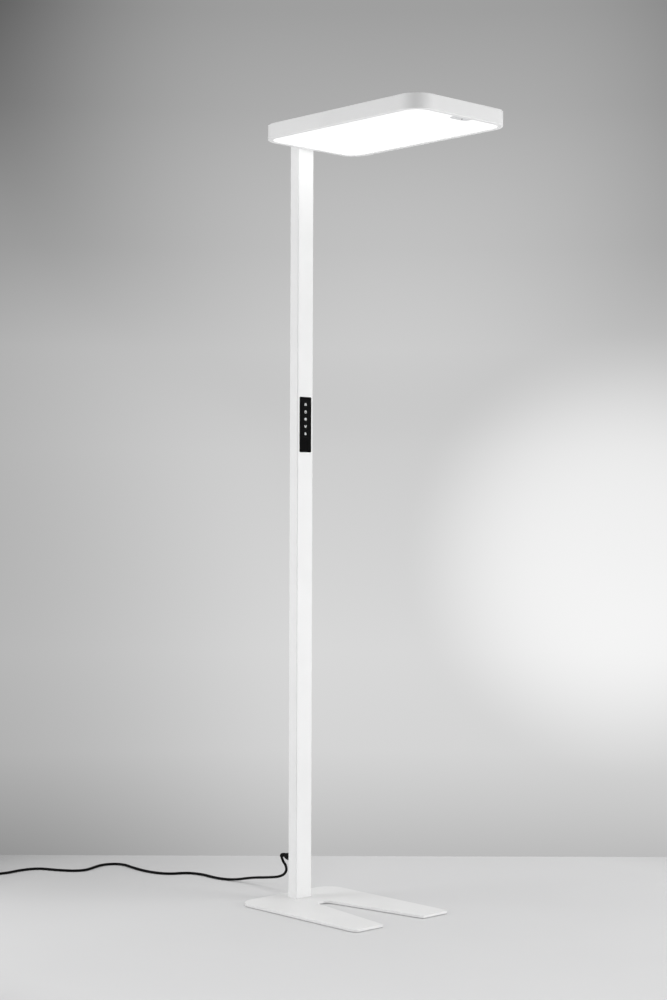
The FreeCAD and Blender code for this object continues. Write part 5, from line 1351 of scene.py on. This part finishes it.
@dataclass
class Studio:
    """Pale floor against a backdrop with painted light and shade, soft lamps and the camera.

    The camera's focal length is in pixels of a picture as high as image_height. The sky is a list of
    heights of a ray's direction, each with the level of grey that is seen there.
    """

    camera_place: Size3 = (-3.1894, -3.2477, 0.98566)
    azimuth: float = -43.33
    pitch: float = 0.411
    roll: float = 0.1807
    focal: float = 1852.73
    image_height: int = 1000
    sensor: float = 36.0
    view_depth: float = 60.0
    floor_colour: Colour = (0.69, 0.69, 0.692)
    floor_cloud: Pattern = Pattern(3.0, 3.0, CLOUDY)
    floor_shade: float = 0.99
    floor_roughness: float = 0.7
    floor_specular: float = 0.3
    floor_reach: float = 4.5
    floor_ahead: float = 0.785
    floor_shown: Span = (0.95, 1.5)
    # A round patch of painted shade on the floor: its middle, its reach and how much darker it gets.
    painted_shade_spot: Size3 = (-0.14, 1.16, 0.0)
    painted_shade_reach: float = 0.95
    painted_shade_depth: float = 0.28
    ambient: Colour = (0.20, 0.20, 0.202)
    # Painted light and shade on the backdrop: its grey level by height, darker just above the floor.
    sky: tuple[Span, ...] = (
        (-0.26, 0.655), (-0.205, 0.58), (-0.18, 0.5), (-0.155, 0.58), (-0.127, 0.66), (-0.074, 0.688),
        (0.034, 0.61), (0.088, 0.528), (0.141, 0.345), (0.213, 0.175), (0.262, 0.1),
    )
    # Round patches of painted light and painted shade on the backdrop.
    painted_patches: tuple[PaintedPatch, ...] = (
        PaintedPatch((0.7912, 0.6111, -0.0213), 0.121, 0.236),
        PaintedPatch((0.3984, 0.909, -0.1227), 0.34, -0.252),
        PaintedPatch((0.6832, 0.6795, 0.2674), 0.229, 0.249),
    )
    softboxes: tuple[Softbox, ...] = (
        Softbox("left_softbox", (-2.6, 2.1, 1.4), (0.0, 0.1, 1.0), 1.8, 2.4, 53.0),
        Softbox("right_softbox", (2.0, -2.7, 1.05), (0.0, 0.1, 0.9), 1.8, 1.9, 68.0),
        Softbox("front_softbox", (-1.7, -1.7, 0.8), (0.0, 0.1, 0.8), 1.4, 1.6, 15.0),
    )
    top_strength: float = 1.5
    top_angle: float = 70.0
    top_heading: Size3 = (-0.25, -0.25, -1.0)

    def build_camera(self) -> None:
        """Places the camera at the photo's viewing angle."""
        turn, lift, roll = (math.radians(x) for x in (self.azimuth, self.pitch, self.roll))
        ahead = Vector((-math.sin(turn) * math.cos(lift), math.cos(turn) * math.cos(lift), math.sin(lift)))
        level = Vector((math.cos(turn), math.sin(turn), 0.0))
        above = level.cross(ahead)
        right = level * math.cos(roll) + above * math.sin(roll)
        up = above * math.cos(roll) - level * math.sin(roll)
        data = bpy.data.cameras.new("photo_camera")
        data.sensor_width = self.sensor
        data.lens = self.focal * self.sensor / self.image_height
        data.clip_end = self.view_depth
        camera = new_object("photo_camera", data)
        axes = Matrix((right, up, -ahead)).transposed().to_4x4()
        camera.matrix_world = Matrix.Translation(self.camera_place) @ axes
        bpy.context.scene.camera = camera

    def build_world(self) -> None:
        """Gives the world a backdrop with painted light and shade and, for all else, an even soft light."""
        world = bpy.data.worlds.new("studio")
        bpy.context.scene.world = world
        graph = Graph(world, "Generated")
        low, high = self.sky[0][0], self.sky[-1][0]
        ramp = graph.add("ShaderNodeValToRGB", {"Fac": graph.ranged(graph.axis("Z"), (low, high))})
        stops = ramp.color_ramp.elements
        while len(stops) < len(self.sky):
            stops.new(0.5)
        for stop, (height, _) in zip(stops, self.sky):
            stop.position = (height - low) / (high - low)
        for stop, (_, level) in zip(stops, self.sky):
            stop.color = (level, level, level, 1.0)
        shade = ramp.outputs["Color"]
        # Each patch adds painted light to the backdrop, or painted shade where its strength is below zero.
        for glow in self.painted_patches:
            shade = graph.maths("ADD", shade, glow.lay(graph))
        backdrop = graph.blend(graph.seen(), self.ambient, shade)
        graph.feed(graph.tree.nodes["Background"].inputs["Color"], backdrop)

    def build_floor(self) -> None:
        """Makes the floor, with a round patch of painted shade at its far left."""
        form = bmesh.new()
        form.faces.new([form.verts.new(point) for point in ring_about(Vector(), UP, self.floor_reach, 96)])
        mesh = bpy.data.meshes.new("floor")
        form.to_mesh(mesh)
        form.free()
        graph = Graph(bpy.data.materials.new("pale_floor"))
        darker = tuple(part * self.floor_shade for part in self.floor_colour)
        paint = graph.blend(graph.pattern(self.floor_cloud), self.floor_colour, darker)
        # Painted shade: the floor's colour darkens towards a spot at its far left.
        away = graph.measure("DISTANCE", graph.place, self.painted_shade_spot)
        painted_shade = graph.ranged(away, (0.0, self.painted_shade_reach), (self.painted_shade_depth, 0.0), smooth=True)
        paint = graph.blend(painted_shade, paint, BLACK)
        graph.surface({"Base Color": paint, "Roughness": self.floor_roughness,
                       "Specular IOR Level": self.floor_specular})
        self.end_floor(graph)
        mesh.materials.append(graph.owner)
        new_object("floor", mesh)

    def end_floor(self, graph: Graph) -> None:
        """Ends the floor, where it is seen, in a straight line behind the lamp and a faded rim.

        Args:
            graph: The floor's node tree.
        """
        turn = math.radians(self.azimuth)
        across = graph.maths("MULTIPLY", graph.axis("X"), -math.sin(turn))
        behind = graph.maths("ADD", across, graph.maths("MULTIPLY", graph.axis("Y"), math.cos(turn)))
        past = graph.maths("GREATER_THAN", behind, self.floor_ahead)
        far = graph.ranged(graph.measure("LENGTH", graph.place), self.floor_shown, smooth=True)
        share = graph.maths("MULTIPLY", graph.maths("MAXIMUM", past, far), graph.seen())
        clear = graph.add("ShaderNodeBsdfTransparent").outputs["BSDF"]
        mix = graph.add("ShaderNodeMixShader", {0: share, 1: graph.shader.outputs["BSDF"], 2: clear})
        graph.feed(graph.tree.nodes["Material Output"].inputs["Surface"], mix.outputs["Shader"])

    def build_lamps(self) -> None:
        """Makes the softboxes and one wide lamp overhead."""
        for softbox in self.softboxes:
            softbox.build()
        add_lamp("overhead_light", "SUN", Vector(self.top_heading), energy=self.top_strength,
                 angle=math.radians(self.top_angle))

    def build(self) -> None:
        """Builds all but the camera, which comes first in the script."""
        self.build_world()
        self.build_floor()
        self.build_lamps()
        bpy.context.scene.view_settings.view_transform = "Standard"


def main() -> None:
    """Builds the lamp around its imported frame, piece by piece."""
    logging.basicConfig(level=logging.INFO, format="%(message)s")
    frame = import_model()
    studio = Studio()
    studio.build_camera()
    for part in (CordSet(), Foot(), Pole(), Head(), SensorInsert(), ControlStrip(), MainsInlet()):
        part.dress(frame)
    studio.build()


if __name__ == "__main__":
    main()
